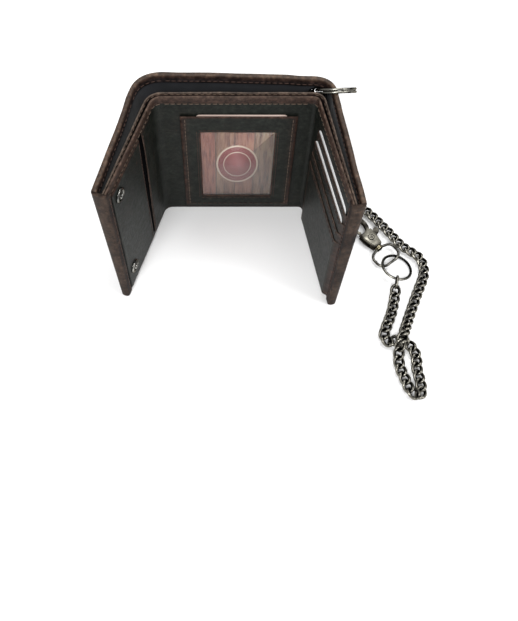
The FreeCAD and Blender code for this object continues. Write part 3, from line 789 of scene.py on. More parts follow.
RING_METAL = metal("ring_metal", (0.008, 0.008, 0.0075), (0.24, 0.232, 0.205), 0.22,
                   polished=True)
EYE_METAL = metal("eye_metal", (0.025, 0.024, 0.022), (0.15, 0.143, 0.125), 0.27)
CAST = metal("hook_metal", (0.022, 0.020, 0.017), (0.115, 0.108, 0.090), 0.36)
# Lighter metal for the hook's flat faces and its rivet: worn plating and a painted highlight of
# light on the flat faces.
FACE = metal("hook_face_wear_highlight", (0.10, 0.095, 0.080), (0.32, 0.305, 0.255), 0.36)
# Near-black metal for the rivet's rings: painted shade in its groove, at the step round its head
# and in its centre.
RIVET_SHADE = metal("rivet_shade_metal", (0.004, 0.004, 0.004), (0.012, 0.011, 0.010), 0.5)
COLLAR = metal("collar_metal", (0.16, 0.135, 0.080), (0.46, 0.42, 0.29), 0.30)
BRIGHT = metal("socket_metal", (0.07, 0.07, 0.068), (0.42, 0.41, 0.38), 0.2)
DARK_METAL = metal("dark_metal", (0.020, 0.020, 0.019), (0.09, 0.085, 0.075), 0.35)
FLOOR = plain("floor_paper", (0.90, 0.90, 0.90), (0.93, 0.93, 0.93), (3.0, 2.0, 0.5), 0.9,
              0.1)


# ------------------------------------------------------------------- sheet outlines
def edge_wear(z):
    return max(0.85 * fade(HEIGHT - z, 7.0), 0.7 * fade(z, 5.0))


def unworn(*place):
    return 0.0


def calm(u):
    """0 beside the snaps and the eyelet, where the leather is held flat, to 1."""
    places = (FLAP.axis.x - FLAP.arc - SNAP_S, CARD.axis.x + 1.0, CARD.axis.x + 34.0)
    return smooth(min(abs(u - place) for place in places) / 9 - 0.6)


def shell_sway(station, z):
    """Gentle unevenness of the outer leather and its lining."""
    share = (z / HEIGHT) ** 2 * calm(station.u)
    slow = grain(station.u, 0.0, 34.0, 1.0)
    back = smooth(min(station.u - FLAP.axis.x + 20, CARD.axis.x - station.u) / 20)
    uneven = 0.15 * calm(station.u) * grain(station.u, z, 16.0, 2.0)
    return 0.8 * share * slow + 0.9 * share * back + uneven


def shell_face(station, z):
    return station.stack(z) + shell_sway(station, z)


def shell_loop(station):
    def outer(z):
        return shell_face(station, z)

    def inner(z):
        hem = HEM * smooth((z - HEIGHT + HEM_HEIGHT + 0.25) / 0.5)
        return outer(z) - SHELL - hem

    free = smooth((station.free - 0.86) / 0.14)

    def wear(z, face):
        if face == "inner":
            return mix(0.36, 0.85, fade(HEIGHT - z, 2.8))
        fold = 0.28 * station.bend * (0.7 + 0.5 * grain(station.u, z, 9.0, 5.0))
        return max(edge_wear(z), 0.8 * free) + fold

    high = HEIGHT + 0.4 + 0.35 * grain(station.u, 0.0, 26.0, 3.0)
    return skin_loop(outer, inner, 0.0, high, 1.6, 0.75, wear)


def lining_loop(station):
    def outer(z):
        return shell_face(station, z) - SHELL - CLEAR

    def inner(z):
        return outer(z) - LINING

    low = SEAM + CLEAR
    high = HEIGHT - HEM_HEIGHT - CLEAR - 0.3
    return skin_loop(outer, inner, low, high, 1.6, 0.2, unworn)


def divider_face(station, z):
    narrow = mix(1.0, 0.15, station.free)
    gap = at_height(DIVIDER_GAP, z) * narrow
    sway = 0.30 * (z / HEIGHT) ** 2 * narrow * grain(station.u, 0.0, 24.0, 7.0)
    return LEATHER + gap + sway


def divider_loop(station):
    def inner(z):
        return divider_face(station, z)

    def wear(z, face):
        return 0.95 * fade(HEIGHT - z, 4.5)

    high = HEIGHT + 0.25 * grain(station.u, 0.0, 22.0, 8.0) - 0.2
    return skin_loop(lambda z: inner(z) + DIVIDER, inner, 0.0, high, 2.2, 0.45, wear)


def inner_face(station, z):
    return 0.09 * smooth(z / 40) * (1 + grain(station.u, z, 30.0, 9.0))


def inner_loop(station):
    def inner(z):
        return inner_face(station, z)

    free = smooth((station.free - 0.90) / 0.08)

    def wear(z, face):
        band = 0.66 * smooth(z - HEIGHT + 6.5) + 0.28 * smooth((z - HEIGHT + 1.8) / 1.6)
        return max(band, 0.5 * fade(z, 2.5), 0.6 * free)

    high = HEIGHT + 0.25 * grain(station.u, 0.0, 30.0, 10.0)
    return skin_loop(lambda z: inner(z) + LEATHER - 0.02, inner, 0.0, high, 2.0, 0.5, wear)


def eyelet_middle():
    low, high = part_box("eyelet")
    return (low + high) / 2 / MM


def eyelet_hole():
    centre = eyelet_middle()
    normal = CARD.normal(EYELET_TURN)

    def hole(point):
        way = point - centre
        across = way - normal * way.dot(normal)
        return across.length < 4.75 and abs(way.dot(normal)) < 8
    return hole


def snap_hole(point):
    """True where a snap goes through the flap's inner leather."""
    way = point - FLAP.axis - FLAP.normal(FLAP.turn) * FLAP.radius
    return near_snap(way.dot(FLAP.along(FLAP.turn)), point.z, 3.4)


def make_layer(word, back_node, loop, material, slot, wrap=0.0, hole=None):
    """One sheet all the way round the wallet.

    A sheet that wraps round the right fold has its hole in the back, else in the flap."""
    back = swept(back_run(wrap), loop, word + "_back_leather", material,
                 hole=hole if wrap else None)
    settle(back, "wallet_back", back_node, slot=slot)
    for side, start, hand in ((FLAP, 0.0, "left"), (CARD, wrap, "right")):
        fold = swept(fold_run(side, start), loop, "%s_%s_fold" % (word, hand), material)
        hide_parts("%s_fold_%s" % (word, hand))
        bend(fold, side, start)
    for side, node, opening in ((FLAP, "_flap", None if wrap else hole),
                                (CARD, "_card_side", None)):
        run = panel_run(side, side.length - BINDING + BINDING_LAP)
        panel = swept(run, loop, "%s_%s_leather" % (word, side.word), material,
                      capped=True, hole=opening)
        settle(panel, side.body, word + node, slot=slot)


def make_sheets():
    hole = eyelet_hole()
    make_layer("shell", "shell_back", shell_loop, OUTER, "outer_leather", SHELL_WRAP, hole)
    make_layer("lining", "lining_back", lining_loop, CLOTH, "lining_cloth", SHELL_WRAP,
               hole)
    make_layer("divider", "bill_divider_back", divider_loop, DIVIDING, "divider_leather")
    make_layer("inner", "inner_back_panel", inner_loop, INNER, "inner_leather",
               hole=snap_hole)


def make_binding(side, word):
    """Shell leather turned round the free edge and lapped over the inside."""
    length = side.length
    end = length - BINDING + BINDING_LAP + CLEAR
    lip = -BINDING_LIP
    rows = spaced(0.0, HEIGHT, 2.0)
    points = []
    wear = []
    for z in rows:
        thick = panel_station(side, length).stack(z)
        start_thick = panel_station(side, end).stack(z)
        outline = [(end, start_thick), (length - 1.5, thick + 0.02)]
        for degrees in (60, 30, 0, -30, -60):
            a = math.radians(degrees)
            outline.append((length - 1.3 + 1.3 * math.cos(a),
                            (thick + lip) / 2 + (thick - lip) / 2 * math.sin(a)))
        sway = 0.18 * grain(z, 0.0, 11.0, 4.0)
        outline += [(length - 1.5, lip), (length - BINDING + 0.5, lip),
                    (length - BINDING + sway, lip + 0.12),
                    (length - BINDING + sway, -CLEAR), (end, -CLEAR)]
        for i, (s, n) in enumerate(outline):
            station = panel_station(side, min(s, length))
            extra = station.origin + side.along(side.turn) * max(0.0, s - length)
            points.append(extra + station.normal * n + Z_AXIS * z)
            worn = 0.95 if 2 <= i <= 6 else 0.6
            wear.append(worn + 0.25 * grain(s * 3, z, 7.0, 6.0))
    faces = ring_faces(len(rows), len(outline))
    if side is CARD:
        faces = [face[::-1] for face in faces]
    piece = mesh("edge_binding_" + word + "_leather", points, faces, EDGING, wear)
    add_bevel(piece, 0.25, 50)
    settle(piece, side.body, "edge_binding_" + word, slot="edge_leather")


# ----------------------------------------------------------------------- stitching
def stitch_layer(word, face, lift, way, z, material, wrap=0.0, **size):
    """Row of stitches round the wallet at one height, split where it folds."""
    def row(part, stations, body=None):
        line = [(station.point(face(station, z) + lift, z), station.normal * way)
                for station in stations]
        return stitches("thread_%s_%s" % (word, part), line, material, body, **size)

    row("back", back_run(wrap), "wallet_back")
    bend(row("left", fold_run(FLAP)), FLAP)
    bend(row("right", fold_run(CARD, wrap)), CARD, wrap)
    for side in (FLAP, CARD):
        row(side.word, panel_run(side, side.length - 2.0), side.body)


def make_stitching():
    fine = {"dash": 2.0, "wire": 0.2}
    stitch_layer("shell_top", shell_face, 0, 1, HEIGHT - 3.4, CREAM, SHELL_WRAP)
    stitch_layer("shell_bottom", shell_face, 0, 1, 3.0, CREAM, SHELL_WRAP)
    stitch_layer("hem", shell_face, -SHELL - HEM, -1, HEIGHT - 3.9, DARK_THREAD, SHELL_WRAP)
    stitch_layer("divider", divider_face, 0, -1, HEIGHT - 1.4, TAN, **fine)
    stitch_layer("divider_back", divider_face, DIVIDER, 1, HEIGHT - 2.6, TAN, **fine)
    stitch_layer("inner", inner_face, 0, -1, HEIGHT - 5.6, TAN, wire=0.24)
    for side in (FLAP, CARD):
        for word, inset, way, material in (("outside", 3.6, 1, CREAM),
                                           ("inside", 3.2, -1, DARK_THREAD)):
            station = panel_station(side, side.length - inset)
            line = []
            for z in spaced(2.5, 107.0, 2.0):
                n = station.stack(z) + 0.15 if way > 0 else -BINDING_LIP
                line.append((station.point(n, z), station.normal * way))
            stitches("thread_free_%s_%s" % (word, side.word), line, material, side.body)


# ------------------------------------------------------------------ back panel goods
FILM_MARGIN = 3.0               # CAD film beyond the opening
WINDOW_EDGE = 2.0               # picture, film and stitches beyond the opening
PRINT_DEPTH = 0.02
INSERT_SHOWS = 0.35             # the card's edge above the pocket
BADGE_TALL = 1.5                # height of the badge for a width of 1


def on_back(a, b, n):
    return Vector((a, n, b))


def id_window():
    """Opening of the window pocket: left, bottom, right, top."""
    low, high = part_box("id_window")
    return (low.x / MM + FILM_MARGIN, low.z / MM + FILM_MARGIN,
            high.x / MM - FILM_MARGIN, high.z / MM - FILM_MARGIN)


def id_frame():
    low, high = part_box("id_pocket_frame")
    return low / MM, high / MM


def make_id_leather():
    """Leather of the window pocket, worn at its sides and round the opening."""
    low, high = id_frame()
    left, bottom, right, top = id_window()

    def wear(a, b):
        sides = max(fade(a - low.x, 6.0), fade(high.x - a, 6.0))
        rim = 0.0
        if bottom < b < top:
            rim = max(fade(abs(a - left), 1.6), fade(abs(a - right), 1.6))
        if left < a < right:
            rim = max(rim, fade(abs(b - top), 1.6), fade(abs(b - bottom), 1.6))
        return max(0.62 * sides, 0.7 * rim, 0.75 * fade(high.z - b, 2.2))

    def sag(a, b):
        return 0.25 * grain(a, b, 18.0, 12.0)

    plate = grid_sheet("id_pocket_leather", on_back, (low.x, high.x), (low.z, high.z),
                       low.y + 0.1, 0.9, INNER, wear, 1.5, sag, id_window())
    settle(plate, "wallet_back", "id_pocket_frame", slot="inner_leather")


def make_id_insert():
    """Printed card behind the window, with a plain disc for its badge."""
    low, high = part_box("id_insert_card")
    left, bottom, right, top = id_window()
    back = low.y / MM
    face = back - PRINT_DEPTH
    outline = rounded_rectangle(left - WINDOW_EDGE, bottom - WINDOW_EDGE,
                                right + WINDOW_EDGE, top + WINDOW_EDGE, 1.0)
    picture = soft_solid("id_picture", on_back, outline, (face, back), PRINT)
    settle(picture, "wallet_back", slot="insert_print")
    across = (left + right) / 2
    up = (bottom + top) / 2
    for name, radius, material, raised in (("rim", 12.6, BADGE_RIM, 0.015),
                                           ("disc", 11.6, BADGE, 0.03),
                                           ("line", 8.4, BADGE_RIM, 0.04),
                                           ("middle", 7.9, BADGE, 0.05)):
        turns = [2 * math.pi * i / 48 for i in range(48)]
        disc = [(across + radius * math.cos(a), up + radius * BADGE_TALL * math.sin(a))
                for a in turns]
        badge = soft_solid("badge_%s_print" % name, on_back, disc, (face - raised, face),
                           material)
        settle(badge, "wallet_back", slot="insert_print")
    outline = rounded_rectangle(low.x / MM, low.z / MM, high.x / MM,
                                id_frame()[1].z + INSERT_SHOWS, 2.0)
    card = soft_solid("id_insert", on_back, outline, (back, high.y / MM), CREAM_CARD)
    settle(card, "wallet_back", "id_insert_card", slot="insert_print")


def make_id_film():
    left, bottom, right, top = id_window()

    def ripple(a, b):
        return 0.06 * grain(a, b, 12.0, 14.0)

    film = grid_sheet("id_film", on_back, (left - WINDOW_EDGE, right + WINDOW_EDGE),
                      (bottom - WINDOW_EDGE, top + WINDOW_EDGE),
                      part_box("id_window")[0].y / MM + 0.02, 0.1, FILM, unworn, 3.0, ripple)
    settle(film, "wallet_back", "id_window", slot="window_film")


def make_id_stitching():
    """Rows along the pocket's sides and bottom, and round the opening."""
    low, high = id_frame()
    left, bottom, right, top = id_window()

    def sew(word, start, end, material, **size):
        line = [(Vector((x, low.y + 0.05, z)), Vector((0, -1, 0))) for x, z in (start, end)]
        stitches("thread_" + word, line, material, "wallet_back", **size)

    for x, word in ((low.x + 2.6, "left"), (high.x - 2.6, "right")):
        sew("id_" + word, (x, low.z + 1.5), (x, high.z - 1.0), TAN, wire=0.2)
    foot = low.z + 2.4
    sew("id_bottom", (low.x + 3, foot), (high.x - 3, foot), DARK_THREAD, wire=0.22)
    corners = [(x, z) for z in (bottom - WINDOW_EDGE, top + WINDOW_EDGE)
               for x in (left - WINDOW_EDGE, right + WINDOW_EDGE)]
    for i, (a, b) in enumerate(((0, 1), (2, 3), (0, 2), (1, 3))):
        sew("window_%d" % (i + 1), corners[a], corners[b], DARK_THREAD, wire=0.18,
            dash=1.8, pitch=2.5)


# ---------------------------------------------------------------- flap and card side
def near_snap(s, z, reach):
    return any(math.hypot(s - SNAP_S, z - height) < reach for height in SNAP_Z)


def make_flap_goods():
    """Plate with the snaps, and the coin strip with the slit between them."""
    s0, s1 = FLAP_PLATE_S
    z0, z1 = FLAP_PLATE_Z

    def place(a, b, n):
        return panel_station(FLAP, a).point(n, b)

    def gape(z):
        """How far each side of the slit is pulled open: most near its top."""
        v = (z - z0) / (z1 - z0)
        return SLIT_GAPE * (0.3 + 0.7 * smooth(v * 1.25)) * (1 - 0.4 * smooth(v * 5 - 4))

    # Along the slit the plate's edge gets full wear: worn leather and a painted highlight line.
    def wear(a, b):
        return max(0.6 * fade(z1 - b, 2.0), 1.0 * fade(a - s0, 1.2))

    def puff(a, b):
        u = (a - s0) / (s1 - s0)
        v = (b - z0) / (z1 - z0)
        flat = 0.0 if near_snap(a, b, 6.0) else 1.0
        mouth = 0.06 * fade(a - s0, 7) * gape(b)
        return mouth + flat * (0.05 * grain(a, b, 20.0, 15.0)
                               + 0.10 * smooth(min(u, 1 - u) * 6)
                               * smooth(min(v, 1 - v) * 8))

    def plate_place(a, b, n):
        return place(a + gape(b) * max(0.0, 1 - (a - s0) / 8), b, n)

    plate = grid_sheet("flap_plate_leather", plate_place, (s0, s1), (z0, z1), -0.95, 0.9,
                       INNER, wear, 0.9, puff, hole=lambda a, b: near_snap(a, b, 3.5))
    settle(plate, "flap", "flap_plate", slot="inner_leather")

    strip_low, strip_high = FLAP_STRIP_S

    def strip_place(a, b, n):
        return place(a - gape(b) * max(0.0, 1 - (strip_high - a) / 6), b, n)

    # The strip's edge at the slit gets full wear: worn leather and a painted highlight line.
    def strip_wear_and_highlight(a, b):
        return max(0.5 * fade(z1 - b, 2.0),
                   1.0 * fade(strip_high - a, 1.2),
                   0.4 * fade(a - strip_low, 1.2))

    strip = grid_sheet("flap_coin_leather", strip_place, FLAP_STRIP_S, (z0, z1), -0.56,
                       0.5, INNER, strip_wear_and_highlight, 1.2)
    settle(strip, "flap", "flap_coin_strip", slot="inner_leather")
    # Near-black sheet in the slit between plate and strip: painted shade of the pocket's mouth.
    slit = grid_sheet("flap_slit_shade", place, (strip_high - 4.5, s0 + 4.5),
                      (z0 + 1, z1 - 1), -0.05, 0.04, SLIT_SHADE, unworn, 2.0)
    settle(slit, "flap", slot="lining_cloth")
    for s, n, word in ((22.4, -1.05, "plate"), (15.6, -0.62, "coin")):
        line = [(place(s, z, n), -FLAP.normal(FLAP.turn)) for z in spaced(5, 102, 2.0)]
        stitches("thread_flap_" + word, line, DARK_THREAD, "flap", wire=0.2)


def make_sockets():
    """Snap sockets: rolled ring, dark cup with a brass boss, and two spring wires."""
    inward = -FLAP.normal(FLAP.turn)
    along = FLAP.along(FLAP.turn)
    for z, word in zip(SNAP_Z, ("bottom", "top")):
        foot = panel_station(FLAP, SNAP_S).point(-1.25, z)
        parts = (("ring", BRIGHT, ["snap_socket_" + word],
                  [(2.8, -2.3), (2.8, 0.62), (2.95, 0.86), (3.3, 0.98), (3.75, 0.90),
                   (4.15, 0.62), (4.35, 0.3), (4.4, 0.0), (2.9, -0.02)]),
                 ("cup", DARK_METAL, [], [(2.78, -2.1), (2.7, -2.38), (0.02, -2.4)]),
                 ("boss", ANTIQUE, [],
                  [(1.25, -2.4), (1.15, -2.2), (0.7, -2.12), (0.02, -2.1)]))
        for part, material, nodes, profile in parts:
            piece = lathe("socket_%s_%s" % (part, word), foot, inward, profile, material)
            settle(piece, "flap", *nodes, slot="snap_inner_metal")
        for way, side in ((-1, "left"), (1, "right")):
            middle = foot + along * (way * 2.62) + inward * 0.45
            wire = [middle + Z_AXIS * h for h in spaced(-1.3, 1.3, 0.4)]
            verts, faces = tube(wire, 0.16, 8, closed=False)
            settle(mesh("socket_spring_%s_%s" % (side, word), verts, faces, BRIGHT),
                   "flap", slot="snap_inner_metal")


def make_card_goods():
    """Card slots, pocket and the two cards."""
    across = (8.4, 65.4)
    sewn = 63.0                 # from here on the slots slope down to the binding

    def place(a, b, n):
        t = smooth((a - sewn) / (across[1] - 0.4 - sewn))
        return panel_station(CARD, a).point(mix(n, -0.45, t * 0.92), b)

    slots = (("card_slot_1", -1.0, 46.0, 95.0), ("card_slot_2", -2.0, 34.0, 86.0),
             ("card_slot_3", -2.55, 22.0, 76.0), ("card_pocket", -3.1, 4.0, 67.0))
    for i, (node, face, foot, top) in enumerate(slots):
        # The slot tops run past full wear, so they show as light lines: worn edges and a painted
        # highlight.
        def wear(a, b, top=top):
            sides = max(fade(a - across[0], 3.5), fade(across[1] - a, 5))
            return max(1.1 * fade(top - b, 1.6), 0.6 * sides)

        def bow(a, b, top=top, i=i):
            t = (a - across[0]) / (across[1] - across[0])
            return 0.03 * math.sin(math.pi * t) * fade(top - b, 14)

        piece = grid_sheet(node + "_leather", place, across, (foot, top), face + 0.03,
                           0.42, INNER, wear, 1.2, bow)
        settle(piece, "card_panel", node, slot="inner_leather")
        line = [(place(s, top - 2.6, face), -CARD.normal(CARD.turn))
                for s in spaced(across[0] + 1.5, across[1] - 1.5, 2.0)]
        stitches("thread_" + node, line, DARK_THREAD, "card_panel", wire=0.18)
    for node, top in (("card_1", 97.2), ("card_2", 88.2)):
        face = -0.45 if node == "card_1" else -1.45
        outline = rounded_rectangle(CARD_START, top - CARD_SIZE[1],
                                    CARD_START + CARD_SIZE[0], top, 3.2)
        card = soft_solid(node + "_blank", place, outline, (face, face + 0.4),
                          WHITE_CARD, 0.08)
        settle(card, "card_panel", node, slot="card_white")


# ------------------------------------------------------------------- rings and chain
def ring_points(centre, axis, radius, count, turns=1.0, spread=0.0):
    side = axis.orthogonal().normalized()
    third = axis.cross(side)
    points = []
    for i in range(count):
        t = i / count
        a = 2 * math.pi * turns * t
        lift = spread * (smooth((t - 0.44) / 0.12) - 0.5)
        points.append(centre + side * (math.cos(a) * radius)
                      + third * (math.sin(a) * radius) + axis * lift)
    return points


def make_rings():
    points = ring_points(RING_CENTRE, RING_AXIS, RING_RADIUS, 220, 2.0, RING_COIL)
    wire_piece("wallet_split_ring", points, RING_WIRE, 12, RING_METAL, "wallet_back",
               "wallet_ring", slot="ring_metal", closed=False, up=RING_AXIS)
    lift = Vector((-0.76, -0.65, 0))
    tilt = math.radians(HOOK_RING_TILT)
    axis = (Z_AXIS * math.cos(tilt) - lift * math.sin(tilt)).normalized()
    points = ring_points(HOOK_RING_CENTRE, axis, HOOK_RING_RADIUS, 96)
    ring = wire_piece("hook_round_ring", points, HOOK_RING_WIRE, 14, RING_METAL,
                      "wallet_back", "hook_ring", slot="ring_metal", up=axis)
    toward = Vector((-0.16, -0.987, 0))
    toward = (toward - axis * toward.dot(axis)).normalized()
    return ring, HOOK_RING_CENTRE + toward * HOOK_RING_RADIUS


def make_eyelet_roll():
    """Rolled lip inside the eyelet, round the split ring."""
    lip = lathe("eyelet_roll", eyelet_middle(), CARD.normal(EYELET_TURN),
                [(4.08, -1.3), (3.5, -1.15), (2.95, -0.45), (2.5, 0.0), (2.95, 0.45),
                 (3.5, 1.15), (4.08, 1.3)], DARK_METAL)
    settle(lip, "wallet_back")


def hook_point(a, b, n):
    """Point of the hook from its pivot: towards the swivel, across, and up."""
    heading = math.radians(HOOK_HEADING)
    along = Vector((math.cos(heading), math.sin(heading), 0))
    across = Vector((-math.sin(heading), math.cos(heading), 0))
    return HOOK_PIVOT + along * a + across * b + Z_AXIS * n


def make_hook_details():
    """Lighter faces (worn plating with a painted highlight) and rivet rings of painted shade on
    both sides of the hook, and the swivel's collar.
    """
    outline = [(-4.5, -3.9), (-1.0, -4.1), (5.9, -2.4), (5.9, 2.4), (-1.0, 3.7), (-4.5, 3.5)]
    pieces = []
    for way, word in ((1, "upper"), (-1, "lower")):
        # Lighter plate on each flat face: worn plating and a painted highlight.
        depth = (way * HOOK_FACE, way * (HOOK_FACE + 0.2))
        face = soft_solid("hook_face_" + word, hook_point, outline,
                          (min(depth), max(depth)), FACE, 0.12)
        pieces.append(settle(face, "hook", slot="hook_metal"))
        # Near-black rings are painted shade: the rivet's groove, the step round its head, and
        # its centre.
        rings = (("groove", HOOK_FACE + RIVET_HEAD,
                  [(1.10, -0.05), (1.05, 0.04), (0.72, 0.04), (0.67, -0.05)]),
                 ("rim", HOOK_FACE, [(2.2, 0.1), (2.1, 0.26), (1.65, 0.28), (1.58, 0.1)]),
                 ("dot", HOOK_FACE + RIVET_HEAD,
                  [(0.42, -0.05), (0.38, 0.05), (0.02, 0.08)]))
        for part, height, profile in rings:
            ring = lathe("hook_rivet_%s_%s" % (part, word), hook_point(0, 0, way * height),
                         Z_AXIS * way, profile, RIVET_SHADE)
            pieces.append(settle(ring, "hook", slot="hook_metal"))
    end = hook_point(COLLAR_START, 0, 0)
    along = (hook_point(COLLAR_START + 1, 0, 0) - end).normalized()
    sleeve = lathe("swivel_collar_sleeve", end, along,
                   [(2.15, -0.05), (2.32, 0.15), (2.32, 0.6), (2.22, 0.8), (2.22, 1.3),
                    (2.32, 1.5), (2.32, 1.95), (2.15, 2.15)], COLLAR)
    pieces.append(settle(sleeve, "wallet_back"))
    return pieces


def ring_low_point():
    down = (-Z_AXIS + RING_AXIS * RING_AXIS.z).normalized()
    return RING_CENTRE + down * RING_RADIUS


def chain_path(start, end):
    """Smooth line of the chain, read from a NURBS spline through its route."""
    curve = bpy.data.curves.new("route", "CURVE")
    curve.dimensions = "3D"
    curve.resolution_u = 24
    spline = curve.splines.new("NURBS")
    route = [start] + [Vector(p) for p in CHAIN_ROUTE] + [end]
    spline.points.add(len(route) - 1)
    for point, place in zip(spline.points, route):
        point.co = (*(place * MM), 1.0)
    spline.order_u = 3
    spline.use_endpoint_u = True
    holder = bpy.data.objects.new("route", curve)
    bpy.context.scene.collection.objects.link(holder)
    bpy.context.view_layer.update()
    line = bpy.data.meshes.new_from_object(holder)
    points = [v.co / MM for v in line.vertices]
    bpy.data.objects.remove(holder)
    bpy.data.curves.remove(curve)
    bpy.data.meshes.remove(line)
    return points


class Path:
    def __init__(self, points):
        self.points = points
        self.lengths = [0.0]
        for a, b in zip(points, points[1:]):
            self.lengths.append(self.lengths[-1] + (b - a).length)
        self.total = self.lengths[-1]

    def at(self, distance):
        """Point and direction at a distance along the path."""
        i = 0
        while i < len(self.points) - 2 and self.lengths[i + 1] < distance:
            i += 1
        span = self.lengths[i + 1] - self.lengths[i]
        t = (distance - self.lengths[i]) / span
        back = self.points[max(0, i - 1)]
        ahead = self.points[min(len(self.points) - 1, i + 2)]
        return self.points[i].lerp(self.points[i + 1], t), (ahead - back).normalized()


LINK_STEPS = 32
LINK_SIDES = 12


def curb_outline():
    """Centreline of a twisted curb link along X."""
    points = []
    for i in range(LINK_STEPS):
        t = 2 * math.pi * i / LINK_STEPS
        x = math.copysign(abs(math.cos(t)) ** 0.86, math.cos(t))
        y = math.copysign(abs(math.sin(t)) ** 0.80, math.sin(t))
        twist = math.radians(45) * x
        points.append(Vector((LINK_HALF[0] * x, LINK_HALF[1] * y * math.cos(twist),
                              LINK_HALF[1] * y * math.sin(twist))))
    return points


def plain_outline():
    half, wide = END_LINK
    straight = half - wide
    points = []
    for i in range(LINK_STEPS):
        t = 2 * math.pi * i / LINK_STEPS
        x = wide * math.cos(t) + math.copysign(straight, math.cos(t))
        points.append(Vector((x, 0, wide * math.sin(t))))
    return points


def frame_matrix(centre, along, up):
    y = up.cross(along).normalized()
    z = along.cross(y).normalized()
    matrix = Matrix((along, y, z)).transposed().to_4x4()
    matrix.translation = centre
    return matrix


def make_chain(ring, hold, details):
    low = ring_low_point()
    path = Path(chain_path(low, hold))
    first = END_LINK_START + NEXT_LINK
    last = path.total - HOOK_LINK_START - NEXT_LINK
    count = int(round((last - first) / LINK_PITCH)) + 1
    pitch = (last - first) / (count - 1)

    wire_way = (low - RING_CENTRE).cross(RING_AXIS).normalized()
    point, along = path.at(END_LINK_START)
    upright = wire_way.cross(along).normalized()
    outline, faces = tube(plain_outline(), END_LINK_WIRE, LINK_SIDES)
    wear = rubbed(plain_outline(), outline, LINK_SIDES, END_LINK_WIRE)
    for name, distance, up, node in (
            ("end_link_at_wallet", END_LINK_START, upright, "end_link_wallet"),
            ("end_link_at_hook", path.total - HOOK_LINK_START, Z_AXIS, "end_link_hook")):
        point, along = path.at(distance)
        matrix = frame_matrix(point, along, up)
        piece = mesh(name, [matrix @ v for v in outline], faces, GUNMETAL, wear)
        settle(piece, "wallet_back", node, slot="chain_metal")

    frames = []
    up = Z_AXIS
    for i in range(count):
        point, along = path.at(last - i * pitch)
        up = (up - along * up.dot(along)).normalized()
        frames.append((point, along, up))
    frames = frames[::-1]
    point, along, up = frames[0]
    meeting = up + up.cross(along)
    turn = math.atan2(along.dot(meeting.cross(upright)), meeting.dot(upright))
    turn = math.atan(math.tan(turn))
    link, link_faces = tube(curb_outline(), LINK_WIRE, LINK_SIDES)
    link_wear = rubbed(curb_outline(), link, LINK_SIDES, LINK_WIRE)
    points = []
    faces = []
    for i, (point, along, up) in enumerate(frames):
        share = max(0.0, 1.0 - i / HANGING_LINKS)
        rolled = Quaternion(along, turn * share) @ up
        matrix = frame_matrix(point, along, rolled)
        base = len(points)
        points += [matrix @ v for v in link]
        faces += [tuple(base + q for q in face) for face in link_faces]
    chain = mesh("curb_chain", points, faces, GUNMETAL, link_wear * len(frames))
    settle(chain, "wallet_back", "chain_links", slot="chain_metal")
    [p * MM for p in path.points]


# ---------------------------------------------------------------- carried-over nodes
def paint(material, *names):
    for name in names:
        data = NODES[name].data
        data.materials.clear()
        data.materials.append(material)


def welded(name):
    """Carried-over node with the doubled points of its CAD mesh joined."""
    weld = NODES[name].modifiers.new("weld", "WELD")
    weld.merge_threshold = 0.00001
    return NODES[name]


def press(depth, *names):
    """Draws the faces of carried-over leather pieces in a little, as if pressed."""
    for name in names:
        pressed = welded(name).modifiers.new("pressed", "DISPLACE")
        pressed.direction = "NORMAL"
        pressed.mid_level = 0.0
        pressed.strength = -depth * MM


def soften(width, *names):
    """Rounds the edges of carried-over metal pieces without moving them."""
    for name in names:
        add_bevel(welded(name), width, 40)


def paint_nodes():
    paint(ANTIQUE, "snap_cap_bottom", "snap_cap_top")
    paint(BRIGHT, "snap_stud_bottom", "snap_stud_top", "trigger_spring")
    paint(DARK_METAL, "eyelet", "eyelet_washer")
    paint(CAST, "hook_body", "hook_trigger")
    # The rivet takes the lighter face metal with its painted highlight.
    paint(FACE, "hook_rivet")
    paint(EYE_METAL, "swivel_eye")
    paint(DIVIDING, "bottom_seam_back", "bottom_seam_flap", "bottom_seam_card_side")
    press(0.12, "bottom_seam_back", "bottom_seam_flap", "bottom_seam_card_side")
    soften(0.45, "hook_body")
    soften(0.3, "hook_trigger")
    soften(0.15, "hook_rivet")


# --------------------------------------------------------------------------- studio
CAMERA_PLACE = Vector((-5.2, -269.9, 422.9))
CAMERA_PITCH = 56.08
CAMERA_YAW = 0.38
CAMERA_ROLL = 0.32
CAMERA_LENS = 44.07
CAMERA_SHIFT = (0.0485, -0.196)


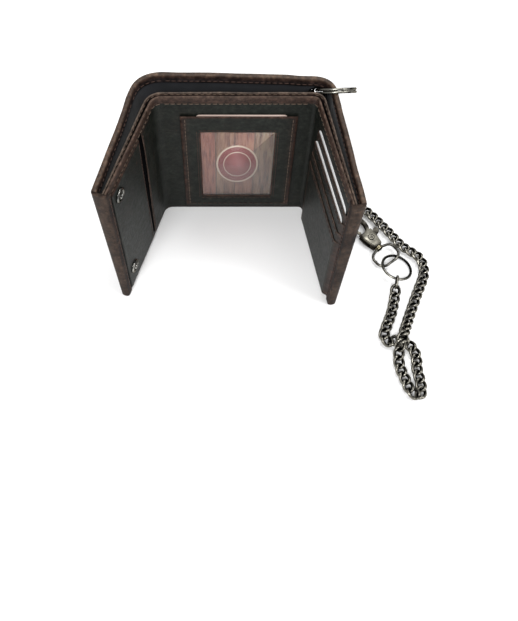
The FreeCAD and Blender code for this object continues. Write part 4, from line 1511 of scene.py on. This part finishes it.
def make_camera():
    pitch = math.radians(CAMERA_PITCH)
    yaw = math.radians(CAMERA_YAW)
    roll = math.radians(CAMERA_ROLL)
    forward = Vector((math.sin(yaw) * math.cos(pitch), math.cos(yaw) * math.cos(pitch),
                      -math.sin(pitch)))
    right = Vector((math.cos(yaw), -math.sin(yaw), 0))
    up = right.cross(forward)
    right_rolled = right * math.cos(roll) + up * math.sin(roll)
    up_rolled = up * math.cos(roll) - right * math.sin(roll)
    data = bpy.data.cameras.new("camera")
    data.lens = CAMERA_LENS
    data.sensor_width = 36
    data.shift_x, data.shift_y = CAMERA_SHIFT
    data.clip_start = 0.01
    data.clip_end = 20
    camera = bpy.data.objects.new("camera", data)
    matrix = Matrix((right_rolled, up_rolled, -forward)).transposed().to_4x4()
    matrix.translation = CAMERA_PLACE * MM
    camera.matrix_world = matrix
    bpy.context.scene.collection.objects.link(camera)
    bpy.context.scene.camera = camera


def area_light(name, place, target, size, power):
    data = bpy.data.lights.new(name, "AREA")
    data.shape = "DISK"
    data.size = size
    data.energy = power
    light = bpy.data.objects.new(name, data)
    light.location = place
    light.rotation_mode = "QUATERNION"
    light.rotation_quaternion = (Vector(target) - Vector(place)).to_track_quat("-Z", "Y")
    bpy.context.scene.collection.objects.link(light)


def make_studio():
    size = 3000.0
    floor = mesh("floor", [Vector((-size, -size, -0.05)), Vector((size, -size, -0.05)),
                           Vector((size, size, -0.05)), Vector((-size, size, -0.05))],
                 [(0, 1, 2, 3)], FLOOR)
    target = (0.0, -0.02, 0.05)
    area_light("key", (-0.22, -0.70, 0.90), target, 0.45, 9.0)
    area_light("fill", (0.75, -0.30, 0.8), target, 0.4, 4.6)
    area_light("top", (0.1, 0.35, 1.0), target, 0.6, 5.5)
    world = bpy.data.worlds.new("studio")
    bpy.context.scene.world = world
    world.use_nodes = True
    background = world.node_tree.nodes["Background"]
    background.inputs["Color"].default_value = (1.0, 1.0, 1.0, 1.0)
    background.inputs["Strength"].default_value = 0.46
    bpy.context.scene.view_settings.view_transform = "Standard"


make_camera()
hook_ring, chain_hold = make_rings()
make_eyelet_roll()
make_chain(hook_ring, chain_hold, make_hook_details())
make_sheets()
make_binding(FLAP, "flap")
make_binding(CARD, "card_side")
make_stitching()
make_id_leather()
make_id_insert()
make_id_film()
make_id_stitching()
make_flap_goods()
make_sockets()
make_card_goods()
paint_nodes()
make_studio()
